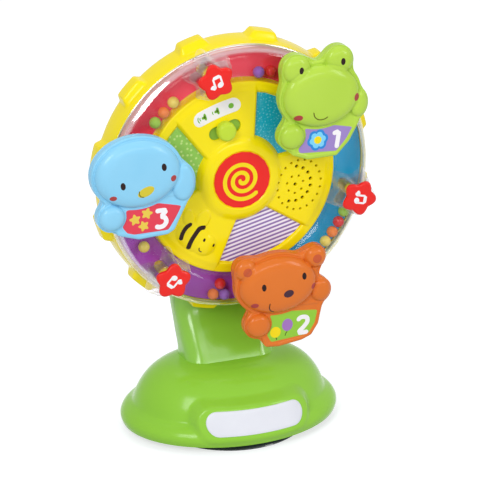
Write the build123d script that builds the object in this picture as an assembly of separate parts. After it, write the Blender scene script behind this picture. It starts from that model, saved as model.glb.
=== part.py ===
from build123d import *
import os
from math import atan2, cos, degrees, hypot, radians, sin, tan

# Baby spinner toy: a wheel with three swinging animals turns on a suction-cup stand.
# Millimetres and degrees. X is right, Y is back, Z is up, and the toy faces -Y.
# The origin is the middle of the suction cup's rim, on the surface that it grips.
# Pieces of the wheel are drawn flat: x right, y up, and h towards the child.
# Angles on the wheel run anticlockwise as the child sees it, from the right.

# Clearances
running_gap = 0.3
shaft_gap = 0.05
fit_gap = 0.1

# Stand: suction cup
cup_r = 51.0
cup_lip_width = 5.0
cup_wall = 2.4
cup_neck_r = 9.0
cup_groove_r = 7.0
cup_button_height = 4.0

# Stand: base shell and its plate
base_bottom_z = 5.5
base_lip_z = 9.5
base_crease_z = 19.0
base_top_z = 46.0
base_lip_half = 73.0
base_crease_half = 66.4
base_top_half = 42.0
base_depth_less = 17.0
base_wall = 2.6
plate_z = 13.0
plate_thickness = 2.4
plate_inset = 8.0
base_screw_inset = 17.0

# Stand: label pad on the front of the lip
pad_half = 40.0
pad_height = 23.0
pad_z = 19.5
pad_front_low = 60.5
pad_front_high = 46.6
pad_reach = 16.0
label_length = 66.0
label_height = 15.0
label_thickness = 0.6

# Stand: neck
neck_foot_half = 34.0
neck_head_r = 43.0
neck_foot_front = -11.0
neck_foot_back = 24.0
neck_front = 8.8
neck_back = 37.0
neck_lean_z = 84.0
neck_wall = 2.6
neck_round = 9.0
neck_plug = 6.0
neck_seam_y = 17.0
neck_screw_low_z = 92.0
neck_screw_high_z = 138.0
neck_screw_low_x = 24.0

# Screws
screw_r = 1.5
screw_head_r = 2.8
screw_head_height = 1.8
screw_boss_r = 4.0
screw_bite = 7.0

# Axle and its bush
axle_height = 176.15
axle_r = 4.0
axle_boss_r = 9.0
axle_end_margin = 4.0
axle_tail = 0.6
bush_wall = 2.5
bush_flange = 1.2
bush_flange_r = 9.5
bush_length = 13.3
washer_r = 8.5
washer_thickness = 1.0

# Wheel: the rear shell and its rim
console_plane_y = -19.25
wheel_turn = 17.2
console_post_ring_r = 57.0
post_to_board_edge = 4.0
board_edge_to_seat = 1.4
seat_ring_width = 4.0
seat_to_channel = 2.4
channel_width = 20.5
rim_width = 5.2
rim_widest_h = -13.0
rim_face_h = -7.2
wheel_back_h = -26.5
board_r = console_post_ring_r + post_to_board_edge
seat_ring_inner_r = board_r + board_edge_to_seat
channel_inner_r = seat_ring_inner_r + seat_to_channel
channel_outer_r = channel_inner_r + channel_width
rim_r = channel_outer_r + rim_width
rim_face_r = rim_r - 2.9
back_flat_r = rim_r - 10.5
shell_wall = 2.2
lobe_count = 12
lobe_r = 12.0
lobe_centre_r = rim_r - 6.2
lobe_height = 14.0
lobe_bevel = 3.5
lobe_sides = 10
ledge_width = 2.4
ledge_thickness = 1.8

# Wheel: the bead channel
tray_edge_h = -6.3
tray_dip = 2.0
tray_under_h = -9.8
tray_split = 0.3
cover_wall = 1.4
cover_crest_h = 5.0
cover_shoulder_h = 0.4
cover_foot_r = channel_inner_r - 0.7
cover_foot_h = -0.2
bead_r = 3.8
bead_lift = 0.6
ring_r = channel_inner_r + 11.2
divider_thickness = 2.0
divider_top_h = 0.4
divider_margin = 2.5

# Wheel: the console
console_r = channel_inner_r - 0.8
console_under_h = -3.0
sector_floor_h = -1.2
lip_top_h = 0.9
lip_inner_r = console_r - 6.7
petal_top_h = 2.0
petal_bevel = 1.0
petal_start = 21.0
petal_start_half = 17.0
petal_end = console_r - 8.0
petal_end_half = 29.8
petal_end_r = console_r - 4.0
dome_r = 28.0
disc_r = 18.8
disc_top_h = 4.65
disc_thickness = 0.6
panel_thickness = 0.5
panel_margin = 0.4

# Wheel: volume slide and its label
knob_ring_r = 36.0
knob_r = 6.0
knob_top_h = 7.5
knob_stem_r = 3.2
knob_travel = 6.0
slot_width = 7.5
slide_plate_width = 11.0
slide_plate_thickness = 1.2
volume_label_r = 48.4
volume_label_length = 31.0
volume_label_height = 8.6

# Wheel: speaker and its grille
speaker_ring_r = 41.0
speaker_r = 17.0
speaker_depth = 6.5
magnet_r = 9.0
grille_hole_r = 0.8
grille_large_r = 1.15

# Wheel: star buttons
star_tip_r = 12.0
star_waist = 0.64
star_base_tip_r = 17.0
star_face_h = 20.5
star_cap_height = 2.6
star_travel = 2.0
star_skirt = 3.5
star_skirt_r = 6.5
star_bevel = 0.8
tower_bottom_h = 1.6
tower_wall = 1.3
tower_floor = 1.4
tower_taper = 9.0
stem_r = 3.6
stem_foot_r = 4.8
stem_foot_height = 0.9
switch_size = 6.0
switch_height = 3.6
switch_button = 3.4
switch_button_height = 0.8
switch_board_size = 14.0
switch_board_thickness = 1.2

# Wheel: electronics
board_h = -11.0
board_thickness = 1.6
battery_r = 5.25
battery_length = 44.5
battery_ring_r = 54.3
battery_gap = 0.3
battery_contact = 1.3
bay_roof = 0.9
door_length = 54.0
door_width = 24.6
door_thickness = 2.0
box_wall = 1.4

# Swinging animals
hanger_post_r = 5.0
hanger_pin_r = 2.5
hanger_cap_r = 4.5
hanger_cap_height = 1.5
shoulder_h = 12.4
animal_back_h = 13.0
animal_seam_h = 17.0
animal_plate_h = 21.0
animal_edge = 1.2
head_top_h = 26.5
head_round = 6.0
limb_top_h = 24.5
limb_round = 4.5
head_wall = 4.5
card_thickness = 0.9
oval_sides = 16
limb_sides = 10
bead_sides = 8
base_sides = 28
wheel_sides = 30
bar_end_sides = 4
grille_sides = 4
round_sides = [(2.0, 6), (4.5, 8), (12.0, 12), (50.0, 20)]
facet_gap = 0.5
corner_share = 0.12

star_angles = [wheel_turn + 90 + 120 * k for k in range(3)]
animal_angles = [wheel_turn + 30 + 120 * k for k in range(3)]
outward = (Align.CENTER, Align.CENTER, Align.MIN)


def polar(radius, angle):
    """The point of the wheel's plane at this radius and angle."""
    return (radius * cos(radians(angle)), radius * sin(radians(angle)))


def place(shape, radius, angle, turn=0.0):
    """Moves a piece drawn at the origin to a place on the wheel, turned in its plane."""
    x, y = polar(radius, angle)
    return Location((x, y, 0), (0, 0, turn)) * shape


def to_toy(shape):
    """Takes a piece from the wheel's own frame, h forward, to the toy's frame."""
    return Location((0, console_plane_y, axle_height), (90, 0, 0)) * shape


def sides(radius):
    """How many flat sides stand for a round of this radius."""
    for limit, count in round_sides:
        if radius < limit:
            return count
    return wheel_sides


def flat_face(corners):
    """A flat face with these corners, which leaves out a corner that is given twice."""
    kept = [Vector(*corner) for k, corner in enumerate(corners) if corner != corners[k - 1]]
    return Face(Wire.make_polygon(kept, close=True))


def turned(*points, arc=360.0):
    """A many-sided turned solid with flat faces, from a closed outline of (radius, h)."""
    steps = round(wheel_sides * arc / 360)
    rings = [[(*polar(r, arc * k / steps), h) for r, h in points] for k in range(steps + 1)]
    faces = [] if arc == 360 else [flat_face(rings[0]), flat_face(rings[-1])]
    for near, far in zip(rings, rings[1:]):
        for k, (radius, _) in enumerate(points):
            if radius + points[k - 1][0] > 0:
                faces.append(flat_face([near[k - 1], near[k], far[k], far[k - 1]]))
    return Solid(Shell(faces))


def pin(radius, low, high):
    """A true cylinder about h between two heights, for what turns."""
    return Pos(0, 0, low) * Cylinder(radius, high - low, align=outward)


def disc(radius, low, high):
    """A many-sided disc about h between two heights."""
    return prism(oval(radius, radius, sides(radius)), low, high)


def clear_round(radius):
    """A many-sided outline whose flats lie on its radius, so that it clears a round of that size."""
    count = sides(radius)
    reach = radius / cos(radians(180 / count))
    return oval(reach, reach, count)


def bore(radius, low, high):
    """A many-sided hole that clears a round of this radius."""
    return prism(clear_round(radius), low, high)


def ring(outer, inner, low, high):
    """A plain tube about h between two heights."""
    return disc(outer, low, high) - bore(inner, low - 1, high + 1)


def bar_outline(length, height):
    """A bar with round ends, drawn with straight sides."""
    turns = [radians(-90 + 180 * k / bar_end_sides) for k in range(bar_end_sides + 1)]
    right = [((length - height + height * cos(t)) / 2, height / 2 * sin(t)) for t in turns]
    return Polygon(*right, *[(-x, -y) for x, y in right], align=None)


def prism(sketch, low, high):
    """A flat outline made solid between two heights."""
    return extrude(Pos(0, 0, low) * sketch, high - low, dir=(0, 0, 1))


def front_edges(solid):
    """The edges that bound the face nearest the child."""
    return solid.faces().sort_by(Axis.Z)[-1].edges()


def bevelled(sketch, low, high, size):
    """A flat outline made solid, with its front edge bevelled."""
    return chamfer(front_edges(prism(sketch, low, high)), size)


def oval(half_width, half_height, sides):
    """An oval drawn with straight sides, which keeps large round forms light."""
    turns = [radians(360.0 * k / sides) for k in range(sides)]
    return Polygon(*[(half_width * cos(t), half_height * sin(t)) for t in turns], align=None)


def dome(spec, low, high, rounding, sides):
    """A button form on an oval: upright sides and two bevels up to a flat top."""
    form = bevelled(oval_at(spec, sides), low, high, 0.65 * rounding)
    return chamfer(front_edges(form), 0.35 * rounding)


def screw(length):
    """A pan-head screw along +Z: the head lies under the origin, the shank above it."""
    return disc(screw_head_r, -screw_head_height, 0) + disc(screw_r, 0, length)


# Stand


def base_section(half, z):
    """One level section of the base: an oval, wider than it is deep."""
    return Pos(0, 0, z) * oval(half, half - base_depth_less, base_sides)


def base_form(shrink, bottom_z, top_z):
    """The base's lip and dome as one form, or its inside when shrunk by the wall."""
    drop = base_crease_half - base_top_half
    rise = base_top_z - base_crease_z
    steps = [
        (base_lip_z, base_lip_half),
        (base_crease_z, base_crease_half),
        (base_crease_z + 0.33 * rise, base_crease_half - 0.24 * drop),
        (base_crease_z + 0.67 * rise, base_crease_half - 0.53 * drop),
        (top_z, base_top_half),
    ]
    z, half = bottom_z, base_lip_half - 1.0
    section = base_section(half - shrink, z)
    form = None
    for next_z, next_half in steps:
        slope = degrees(atan2(half - next_half, next_z - z))
        stage = extrude(section, next_z - z, dir=(0, 0, 1), taper=slope)
        section = make_face(stage.faces().sort_by(Axis.Z)[-1].outer_wire().edges())
        form = stage if form is None else form + stage
        z, half = next_z, next_half
    return form


def base_screw_points():
    """Places of the four screws of the base's plate, on an oval inside its rim."""
    half = base_lip_half - base_screw_inset
    turns = [45.0 + 90.0 * k for k in range(4)]
    return [(half * cos(radians(t)), (half - base_depth_less) * sin(radians(t))) for t in turns]


def neck_section(shrink, half, front, back, z):
    """One level section of the neck: a rectangle with cut corners."""
    corner = neck_round - 0.6 * shrink
    sketch = Rectangle(2 * (half - shrink), back - front - 2 * shrink)
    return Pos(0, (front + back) / 2, z) * chamfer(sketch.vertices(), corner)


def neck_form(shrink, bottom_z):
    """The neck's leaning column with its round head, or its inside when shrunk."""
    head_half = neck_head_r - 1.0
    lean_share = (neck_lean_z - base_top_z) / (axle_height - base_top_z)
    lean_half = neck_foot_half + lean_share * (head_half - neck_foot_half)
    column = loft(
        [
            neck_section(shrink, neck_foot_half, neck_foot_front, neck_foot_back, bottom_z),
            neck_section(shrink, neck_foot_half, neck_foot_front, neck_foot_back, base_top_z),
            neck_section(shrink, lean_half, neck_front, neck_back, neck_lean_z),
            neck_section(shrink, head_half, neck_front, neck_back, axle_height),
        ],
        ruled=True,
    )
    depth = (neck_back - neck_front) / 2 - shrink
    head = disc(neck_head_r - shrink, -depth, depth)
    ends = head.faces().sort_by(Axis.Z)
    head = chamfer(ends[0].edges() + ends[-1].edges(), neck_round - 0.6 * shrink)
    return column + Location((0, (neck_front + neck_back) / 2, axle_height), (90, 0, 0)) * head


def neck_screw_places():
    """Where screws from the back hold the neck's two halves together."""
    low = [(side * neck_screw_low_x, neck_screw_low_z) for side in (-1, 1)]
    return low + [(0, axle_height + neck_head_r - 14.0)]


def along_y(form, x, z, radius, front, back):
    """A disc, bore or pin that runs from front to back through the neck."""
    return Location((x, front, z), (-90, 0, 0)) * form(radius, 0, back - front)


def neck_shell():
    """The whole hollow neck with its bosses, before it is split at the seam."""
    foot_z = base_top_z - neck_plug
    outer = neck_form(0, foot_z)
    shell = outer - neck_form(neck_wall, foot_z + neck_wall)
    for x, z in neck_screw_places():
        shell += along_y(disc, x, z, screw_boss_r, neck_foot_front, neck_back) & outer
    shell += along_y(disc, 0, axle_height, axle_boss_r, neck_front, neck_back)
    for x, z in neck_screw_places():
        shell -= along_y(bore, x, z, screw_r, neck_seam_y - screw_bite, neck_back)
        shell -= along_y(bore, x, z, screw_head_r + fit_gap, neck_screw_seat(), 2 * neck_back)
    return shell - along_y(pin, 0, axle_height, axle_r, neck_front - 1, neck_back - axle_end_margin)


def neck_screw_seat():
    """How far back the heads of the neck's screws bear."""
    return neck_back - 2 * screw_head_height


def half_space(front):
    """A large block in front of the neck's seam, or behind it."""
    size = 4 * axle_height
    middle = neck_seam_y + (-size / 2 if front else size / 2)
    return Pos(0, middle, axle_height / 2) * Box(size, size, size)


def make_suction_cup():
    """A soft dished disc with a neck and a button that snaps into the plate."""
    over = plate_z + plate_thickness + fit_gap
    bell_r = cup_r - cup_lip_width
    hollow = plate_z - cup_wall - 2.0
    bell = turned(
        (0, hollow),
        (0.6 * bell_r, 0.7 * hollow),
        (bell_r, 0),
        (cup_r, 0),
        (cup_r - 0.8, 1.2),
        (0.68 * cup_r, 0.68 * plate_z),
        (cup_neck_r, plate_z - 0.6),
        (cup_neck_r, plate_z),
        (0, plate_z),
    )
    return bell + disc(cup_groove_r, plate_z, over) + disc(cup_neck_r, over, over + cup_button_height)


def make_base_plate():
    """The flat plate that closes the base and holds the cup and the screws."""
    half = base_lip_half - plate_inset
    plate = prism(oval(half, half - base_depth_less, base_sides), plate_z, plate_z + plate_thickness)
    plate -= bore(cup_groove_r + shaft_gap, 0, base_top_z)
    for x, y in base_screw_points():
        plate -= Pos(x, y, 0) * bore(screw_r + fit_gap, 0, base_top_z)
    return plate


def make_base_screws():
    """Four screws up through the plate into the shell's bosses."""
    return [Pos(x, y, plate_z) * screw(plate_thickness + screw_bite) for x, y in base_screw_points()]


def pad_cone(proud):
    """A leaning oval cone whose front is the face of the label pad."""
    low = base_section(pad_front_low + base_depth_less + proud, pad_z - pad_reach)
    lean = degrees(atan2(pad_front_low - pad_front_high, 2 * pad_reach))
    return extrude(low, 2 * pad_reach, taper=lean)


def front_stadium(length, height):
    """A bar with round ends that runs back from in front of the base."""
    bar = prism(bar_outline(length, height), 0, 1.6 * base_lip_half)
    return Location((0, -2 * base_lip_half, pad_z), (-90, 0, 0)) * bar


def make_base_cover():
    """The glossy domed shell of the base, with its label pad, bosses and socket for the neck."""
    outer = base_form(0, base_bottom_z, base_top_z)
    foot_z = base_top_z - neck_plug
    boss_low = plate_z + plate_thickness
    shell = outer + (pad_cone(0) & front_stadium(2 * pad_half, pad_height))
    shell -= base_form(base_wall, base_bottom_z - 1, base_top_z - base_wall)
    for x, y in base_screw_points():
        shell += Pos(x, y, 0) * disc(screw_boss_r, boss_low, base_top_z) & outer
        shell -= Pos(x, y, 0) * bore(screw_r, 0, boss_low + screw_bite)
    socket = neck_section(-neck_wall, neck_foot_half, neck_foot_front, neck_foot_back, 0)
    shell += prism(socket, foot_z - neck_wall, base_top_z) & outer
    hole = neck_section(-fit_gap, neck_foot_half, neck_foot_front, neck_foot_back, 0)
    return shell - prism(hole, foot_z, base_top_z + 1)


def make_label_plate():
    """The bare pale plate on the pad."""
    bar = front_stadium(label_length, label_height)
    return (pad_cone(label_thickness) & bar) - pad_cone(0)


def make_neck_screws():
    """Screws from the back that hold the neck's two halves together."""
    seat = neck_screw_seat()
    one = Rot(90, 0, 0) * screw(seat - neck_seam_y + screw_bite - 1.0)
    return [Pos(x, seat, z) * one for x, z in neck_screw_places()]


def axle_h(y):
    """Height h on the wheel of a place given from front to back on the toy."""
    return console_plane_y - y


def bush_front_h():
    """The front end of the wheel's bush."""
    return wheel_back_h + bush_length


def make_axle():
    """The steel axle, pressed into the neck, with a short tail for its clip in front."""
    front_h = bush_front_h() + running_gap + washer_thickness + axle_tail
    return pin(axle_r, axle_h(neck_back - axle_end_margin), front_h)


def make_axle_clip():
    """The push-on ring that keeps the wheel on its axle."""
    low = bush_front_h() + running_gap
    return ring(washer_r, axle_r, low, low + washer_thickness)


# Wheel


def rim_solid():
    """The full outer form of the rear shell, before it is hollowed."""
    return turned(
        (0, wheel_back_h),
        (back_flat_r, wheel_back_h),
        (rim_r - 3.2, wheel_back_h + 2.6),
        (rim_r - 0.7, wheel_back_h + 7.5),
        (rim_r, rim_widest_h),
        (rim_r - 0.6, rim_face_h - 2.0),
        (rim_face_r, rim_face_h),
        (0, rim_face_h),
    )


def rim_lobes():
    """The row of round knuckles on the rim that small hands push."""
    low = rim_widest_h - 0.7 * lobe_height
    lobe = prism(oval(lobe_r, lobe_r, lobe_sides), low, low + lobe_height)
    lobe = chamfer(lobe.faces().sort_by(Axis.Z)[0].edges() + front_edges(lobe), lobe_bevel)
    step = 360.0 / lobe_count
    angles = [wheel_turn + step * k for k in range(lobe_count)]
    return [place(lobe, lobe_centre_r, angle, angle) for angle in angles]


def bay_block(length, width, low, high):
    """A block at the place of the battery bay, longest across the wheel's radius."""
    block = Pos(0, 0, low) * Box(width, length, high - low, align=outward)
    return place(block, battery_ring_r, star_angles[0], star_angles[0])


def bay_top_h():
    """The front of the battery bay."""
    return wheel_back_h + door_thickness + battery_gap + 2 * battery_r


def bay_width():
    """The width of the bay, which holds two cells side by side."""
    return 4 * battery_r + 3 * battery_gap


def console_screw_h():
    """Where the heads of the console's long screws bear, inside the wheel's back."""
    return wheel_back_h + 2 * screw_head_height


def make_rear_shell():
    """The yellow rear moulding: rim, knuckles, hub boss, seats, posts and battery bay."""
    floor_h = wheel_back_h + shell_wall
    wall_r = rim_r - shell_wall
    ledge_r = channel_outer_r - ledge_width
    ledge_h = tray_under_h - ledge_thickness
    seat_r = channel_outer_r + running_gap
    shell = rim_solid()
    for lobe in rim_lobes():
        shell += lobe
    shell -= turned(
        (0, floor_h),
        (back_flat_r - 1.5, floor_h),
        (wall_r, floor_h + 6.5),
        (wall_r, ledge_h),
        (ledge_r, ledge_h),
        (ledge_r, tray_under_h),
        (seat_r, tray_under_h),
        (seat_r, 0),
        (0, 0),
    )
    shell += ring(seat_ring_inner_r + seat_ring_width, seat_ring_inner_r, floor_h - 0.5, tray_under_h)
    shell += disc(axle_r + bush_wall + 5.0, wheel_back_h, bush_front_h() - 0.6)
    bay_length = door_length + 2 * box_wall
    shell += bay_block(bay_length, door_width + 2 * box_wall, floor_h - 0.5, bay_top_h() + bay_roof)
    for angle in animal_angles:
        post = disc(screw_boss_r, floor_h - 0.5, board_h - board_thickness)
        post -= bore(screw_r + fit_gap, wheel_back_h, board_h)
        shell += place(post, console_post_ring_r, angle)
        shell += place(disc(hanger_post_r + 1, floor_h - 0.5, hanger_seat_h()), ring_r, angle)
    for angle in star_angles:
        shell += place(disc(screw_boss_r, floor_h - 0.5, switch_board_under_h()), ring_r, angle)
    shell -= disc(axle_r + bush_wall, wheel_back_h - 1, 0)
    shell -= bay_block(door_length, door_width, wheel_back_h - 1, wheel_back_h + door_thickness)
    shell -= bay_block(battery_length + 2 * battery_contact, bay_width(), wheel_back_h, bay_top_h())
    for angle in animal_angles:
        hole = bore(screw_r + fit_gap, wheel_back_h - 1, floor_h)
        hole += bore(screw_head_r + fit_gap, wheel_back_h - 1, console_screw_h())
        shell -= place(hole, console_post_ring_r, angle)
    return shell


def make_wheel_bush():
    """The acetal bush on which the wheel turns, with a flange that faces the neck."""
    outer_r = axle_r + bush_wall
    bush = disc(outer_r, wheel_back_h, bush_front_h()) + disc(
        bush_flange_r, wheel_back_h - bush_flange, wheel_back_h
    )
    return bush - pin(axle_r + shaft_gap, wheel_back_h - 2 * bush_flange, 0)


def petal_sketch(grow=0.0):
    """One raised petal of the console, along +X, or a larger outline round it."""
    spread = (petal_end_half - petal_start_half) / (petal_end - petal_start)
    tail = petal_start - 3.0
    far = petal_end_r + 5.0
    near_half = petal_start_half + grow
    far_half = near_half + spread * (far - petal_start)
    upper = [(tail, near_half), (petal_start, near_half), (far, far_half)]
    lower = [(x, -y) for x, y in reversed(upper)]
    return Polygon(*upper, *lower, align=None) & oval(petal_end_r, petal_end_r, wheel_sides)


def slot_sketch():
    """The slot along the volume slide's way, across the petal."""
    length = slot_width + 2 * (knob_travel + running_gap)
    return Rot(0, 0, 90) * bar_outline(length, slot_width)


def grille_places():
    """Speaker holes as (x, y, radius): a ring round the cone, a crescent and a few inside."""
    places = [(0, 0, grille_large_r)]
    for k in range(20):
        places.append((13.6 * cos(radians(18 * k)), 16.6 * sin(radians(18 * k)), grille_hole_r))
    for k in range(9):
        turn = -88 + 22 * k
        places.append((9.6 * cos(radians(turn)), 12.0 * sin(radians(turn)), grille_large_r))
    for k in range(7):
        turn = 90 + 51.4 * k
        places.append((5.0 * cos(radians(turn)), 5.8 * sin(radians(turn)), grille_hole_r))
    return places


def speaker_place(shape):
    """Puts a piece drawn at the speaker's centre onto its petal."""
    return place(shape, speaker_ring_r, star_angles[2], star_angles[2])


def console_profile():
    """The console's turned form: skirt, lip, low sector floors and the hub dome."""
    disc_floor_h = disc_top_h - disc_thickness
    return turned(
        (0, console_under_h),
        (seat_ring_inner_r, console_under_h),
        (seat_ring_inner_r, tray_under_h),
        (channel_inner_r, tray_under_h),
        (channel_inner_r, cover_foot_h),
        (console_r, cover_foot_h),
        (console_r - 1.4, lip_top_h),
        (lip_inner_r, sector_floor_h),
        (dome_r, sector_floor_h),
        (dome_r - 0.6, 1.8),
        (dome_r - 4.0, 3.8),
        (disc_r + 0.6, disc_top_h),
        (disc_r, disc_top_h),
        (disc_r, disc_floor_h),
        (0, disc_floor_h),
    )


def make_console_front():
    """The yellow front moulding: hub dome, three raised petals, lip and bosses."""
    disc_floor_h = disc_top_h - disc_thickness
    petal = bevelled(petal_sketch(), console_under_h, petal_top_h, petal_bevel)
    console = console_profile()
    for angle in star_angles:
        console += Rot(0, 0, angle) * petal
    console -= turned(
        (0, console_under_h),
        (dome_r - 3, console_under_h),
        (disc_r - 2, disc_floor_h - shell_wall),
        (0, disc_floor_h - shell_wall),
    )
    boss = ring(screw_boss_r, screw_r, board_h, console_under_h)
    for angle in animal_angles:
        console += place(boss, console_post_ring_r, angle)
    first = star_angles[0]
    slot = prism(slot_sketch(), console_under_h - 1, petal_top_h + 1)
    console -= place(slot, knob_ring_r, first, first)
    label = prism(volume_label_sketch(), label_floor_h(), petal_top_h + 1)
    console -= place(label, volume_label_r, first, first)
    for x, y, radius in grille_places():
        hole = prism(oval(radius, radius, grille_sides), console_under_h - 1, petal_top_h + 1)
        console -= speaker_place(Pos(x, y, 0) * hole)
    return console


def label_floor_h():
    """The floor of the volume label's recess."""
    return petal_top_h - 0.3


def volume_label_sketch():
    """The outline of the volume label, across its petal."""
    return Rot(0, 0, 90) * bar_outline(volume_label_length, volume_label_height)


def make_volume_label():
    """The thin white label above the volume slide."""
    label = prism(volume_label_sketch(), label_floor_h(), petal_top_h + 0.2)
    return place(label, volume_label_r, star_angles[0], star_angles[0])


def make_sector_panels():
    """Three thin printed panels that lie in the hollows between the petals."""
    outer_r = lip_inner_r - panel_margin
    field = oval(outer_r, outer_r, wheel_sides) - oval(dome_r + panel_margin, dome_r + panel_margin, wheel_sides)
    wedge = Polygon((0, 0), (2 * console_r, -2 * console_r), (2 * console_r, 2 * console_r), align=None)
    for angle in star_angles:
        field -= Rot(0, 0, angle) * petal_sketch(panel_margin)
    top = sector_floor_h + panel_thickness
    return [prism(field & (Rot(0, 0, angle) * wedge), sector_floor_h, top) for angle in animal_angles]


def make_spiral_disc():
    """The red printed disc in the middle of the hub dome."""
    return disc(disc_r - fit_gap, disc_top_h - disc_thickness, disc_top_h)


def tray_floor_h(radius):
    """The level of the curved tray at a radius."""
    half = (channel_outer_r - channel_inner_r) / 2
    middle = (channel_outer_r + channel_inner_r) / 2
    return tray_edge_h - tray_dip * (1 - ((radius - middle) / half) ** 2)


def make_bead_tray(start):
    """One coloured floor of the channel, a shallow trough from animal to animal."""
    inner = channel_inner_r + facet_gap
    step = (channel_outer_r - inner) / 4
    floor = [(inner + step * k, tray_floor_h(inner + step * k)) for k in range(5)]
    under = [(channel_outer_r, tray_under_h), (inner, tray_under_h)]
    tray = Rot(0, 0, start + tray_split / 2) * turned(*floor, *under, arc=120.0 - tray_split)
    for angle in (start, start + 120):
        tray -= place(bore(hanger_post_r + fit_gap, tray_under_h - 1, 0), ring_r, angle)
    return tray - place(bore(stem_r + running_gap, tray_under_h - 1, 0), ring_r, start + 60)


def cover_line(inset):
    """The clear cover's outer line, or one inside it, from its foot over the crest to its flange."""
    foot = cover_foot_r + inset
    rim = rim_face_r - 1.2 - inset
    middle = (foot + rim) / 2
    half = rim - middle
    shoulder = cover_shoulder_h - 0.4 * inset
    rise = (cover_crest_h - inset - shoulder) / (1 - 0.45**2)
    crown = [(middle + half * t, shoulder + rise * (1 - t * t)) for t in (-1, -0.45, 0.45, 1)]
    return [(foot, cover_foot_h), *crown, (rim_face_r - 0.4 - inset, rim_face_h)]


def make_clear_cover():
    """The clear ring over the bead channel, with holes for stems and posts."""
    cover = turned(*cover_line(0), *reversed(cover_line(cover_wall)))
    for angle in star_angles:
        cover -= place(bore(stem_r + running_gap, 0, cover_crest_h + 1), ring_r, angle)
    for angle in animal_angles:
        cover -= place(bore(hanger_post_r + fit_gap, 0, cover_crest_h + 1), ring_r, angle)
    return cover


def cover_blank():
    """Everything under the clear cover's outer line, to seat the towers on it."""
    return turned((0, rim_face_h), (0, cover_foot_h), *cover_line(0))


def star_corners(tip):
    """The corners of a fat five-pointed star with blunt tips, one tip along +X."""
    notch_x, notch_y = [star_waist * tip * v for v in polar(1.0, 36.0)]
    share = corner_share * tip / hypot(tip - notch_x, notch_y)
    cut_x, cut_y = tip - share * (tip - notch_x), share * notch_y
    corners = []
    for turn in [radians(72 * k) for k in range(5)]:
        for x, y in [(cut_x, -cut_y), (cut_x, cut_y), (notch_x, notch_y)]:
            corners.append((x * cos(turn) - y * sin(turn), x * sin(turn) + y * cos(turn)))
    return corners


def star_sketch(tip):
    """The star as a flat outline."""
    return Polygon(*star_corners(tip), align=None)


def narrowing_star(tip, high):
    """A star on the towers' lowest level that narrows upwards between flat sides."""
    notch_x, notch_y = [star_waist * v for v in polar(1.0, 36.0)]
    side_distance = tip * notch_y / hypot(1 - notch_x, notch_y)
    share = 1 - (high - tower_bottom_h) * tan(radians(tower_taper)) / side_distance
    lower = [(x, y, tower_bottom_h) for x, y in star_corners(tip)]
    upper = [(share * x, share * y, high) for x, y, _ in lower]
    faces = [flat_face(lower), flat_face(upper)]
    for k in range(len(lower)):
        faces.append(flat_face([lower[k - 1], lower[k], upper[k], upper[k - 1]]))
    return Solid(Shell(faces))


def tower_solid(top_h, bore_r):
    """A clear star that flares towards its foot, drawn at the origin."""
    tower = narrowing_star(star_base_tip_r, top_h) - narrowing_star(star_base_tip_r - 1.5 * tower_wall, top_h)
    return tower + narrowing_star(star_base_tip_r, cover_crest_h + tower_floor) - bore(bore_r, 0, top_h + 1)


def make_tower(angle, top_h, bore_r):
    """A clear tower seated on the cover at one place of the ring."""
    return place(tower_solid(top_h, bore_r), ring_r, angle, angle) - cover_blank()


def tower_top_h():
    """The top of a button's clear tower, one travel below the red cap."""
    return star_face_h - star_cap_height - star_travel - running_gap


def make_star_cap(angle):
    """A red star that is pressed, with a skirt that slides in the clear tower."""
    under = star_face_h - star_cap_height
    cap = bevelled(star_sketch(star_tip_r), under, star_face_h, star_bevel)
    cap += ring(star_skirt_r, star_skirt_r - 1.6, under - star_skirt, under)
    return place(cap, ring_r, angle, angle)


def stem_foot_h():
    """The lowest point of a star's stem, under the tray."""
    return tray_under_h - running_gap - stem_foot_height


def make_star_stem(angle):
    """The yellow stem under a star cap, with a square foot that stops it under the tray."""
    low = stem_foot_h()
    stem = disc(stem_r, low + stem_foot_height, star_face_h - star_cap_height)
    stem += Pos(0, 0, low) * Box(2 * stem_foot_r, 2 * stem_foot_r, stem_foot_height, align=outward)
    return place(stem, ring_r, angle, angle)


def switch_top_h():
    """The top of a star's switch, which its stem reaches at the end of its travel."""
    return stem_foot_h() - star_travel - shaft_gap


def switch_board_under_h():
    """The underside of the small boards that carry the star switches."""
    return switch_top_h() - switch_button_height - switch_height - switch_board_thickness


def make_star_boards():
    """Three small boards on the rear shell's posts, under the star stems."""
    low = switch_board_under_h()
    board = Pos(0, 0, low) * Box(switch_board_size, switch_board_size, switch_board_thickness, align=outward)
    return [place(board, ring_r, angle, angle) for angle in star_angles]


def make_star_switches():
    """Three push switches, one under each star stem."""
    low = switch_board_under_h() + switch_board_thickness
    body = Pos(0, 0, low) * Box(switch_size, switch_size, switch_height, align=outward)
    low += switch_height
    body += Pos(0, 0, low) * Box(switch_button, switch_button, switch_button_height, align=outward)
    return [place(body, ring_r, angle, angle) for angle in star_angles]


def make_star_leds():
    """Three lamps beside the switches, which light the stars from below."""
    low = switch_board_under_h() + switch_board_thickness
    lamp = Pos(0, 5.2, low) * Box(3.0, 3.0, 2.0, align=outward)
    return [place(lamp, ring_r, angle, angle) for angle in star_angles]


def make_hanger_posts():
    """Three posts through the channel that carry the animals, each with a divider fin."""
    length = channel_outer_r - channel_inner_r - 2 * divider_margin
    middle = (channel_outer_r + channel_inner_r) / 2 - ring_r
    low = tray_edge_h + running_gap
    fin = Pos(middle, 0, low) * Box(length, divider_thickness, divider_top_h - low, align=outward)
    post = disc(hanger_post_r, hanger_seat_h(), shoulder_h)
    post += pin(hanger_pin_r, shoulder_h, pin_top_h())
    return [place(post + fin, ring_r, angle, angle) for angle in animal_angles]


def hanger_seat_h():
    """Where the hanger posts stand on pads inside the wheel's back."""
    return wheel_back_h + 2 * shell_wall


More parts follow.
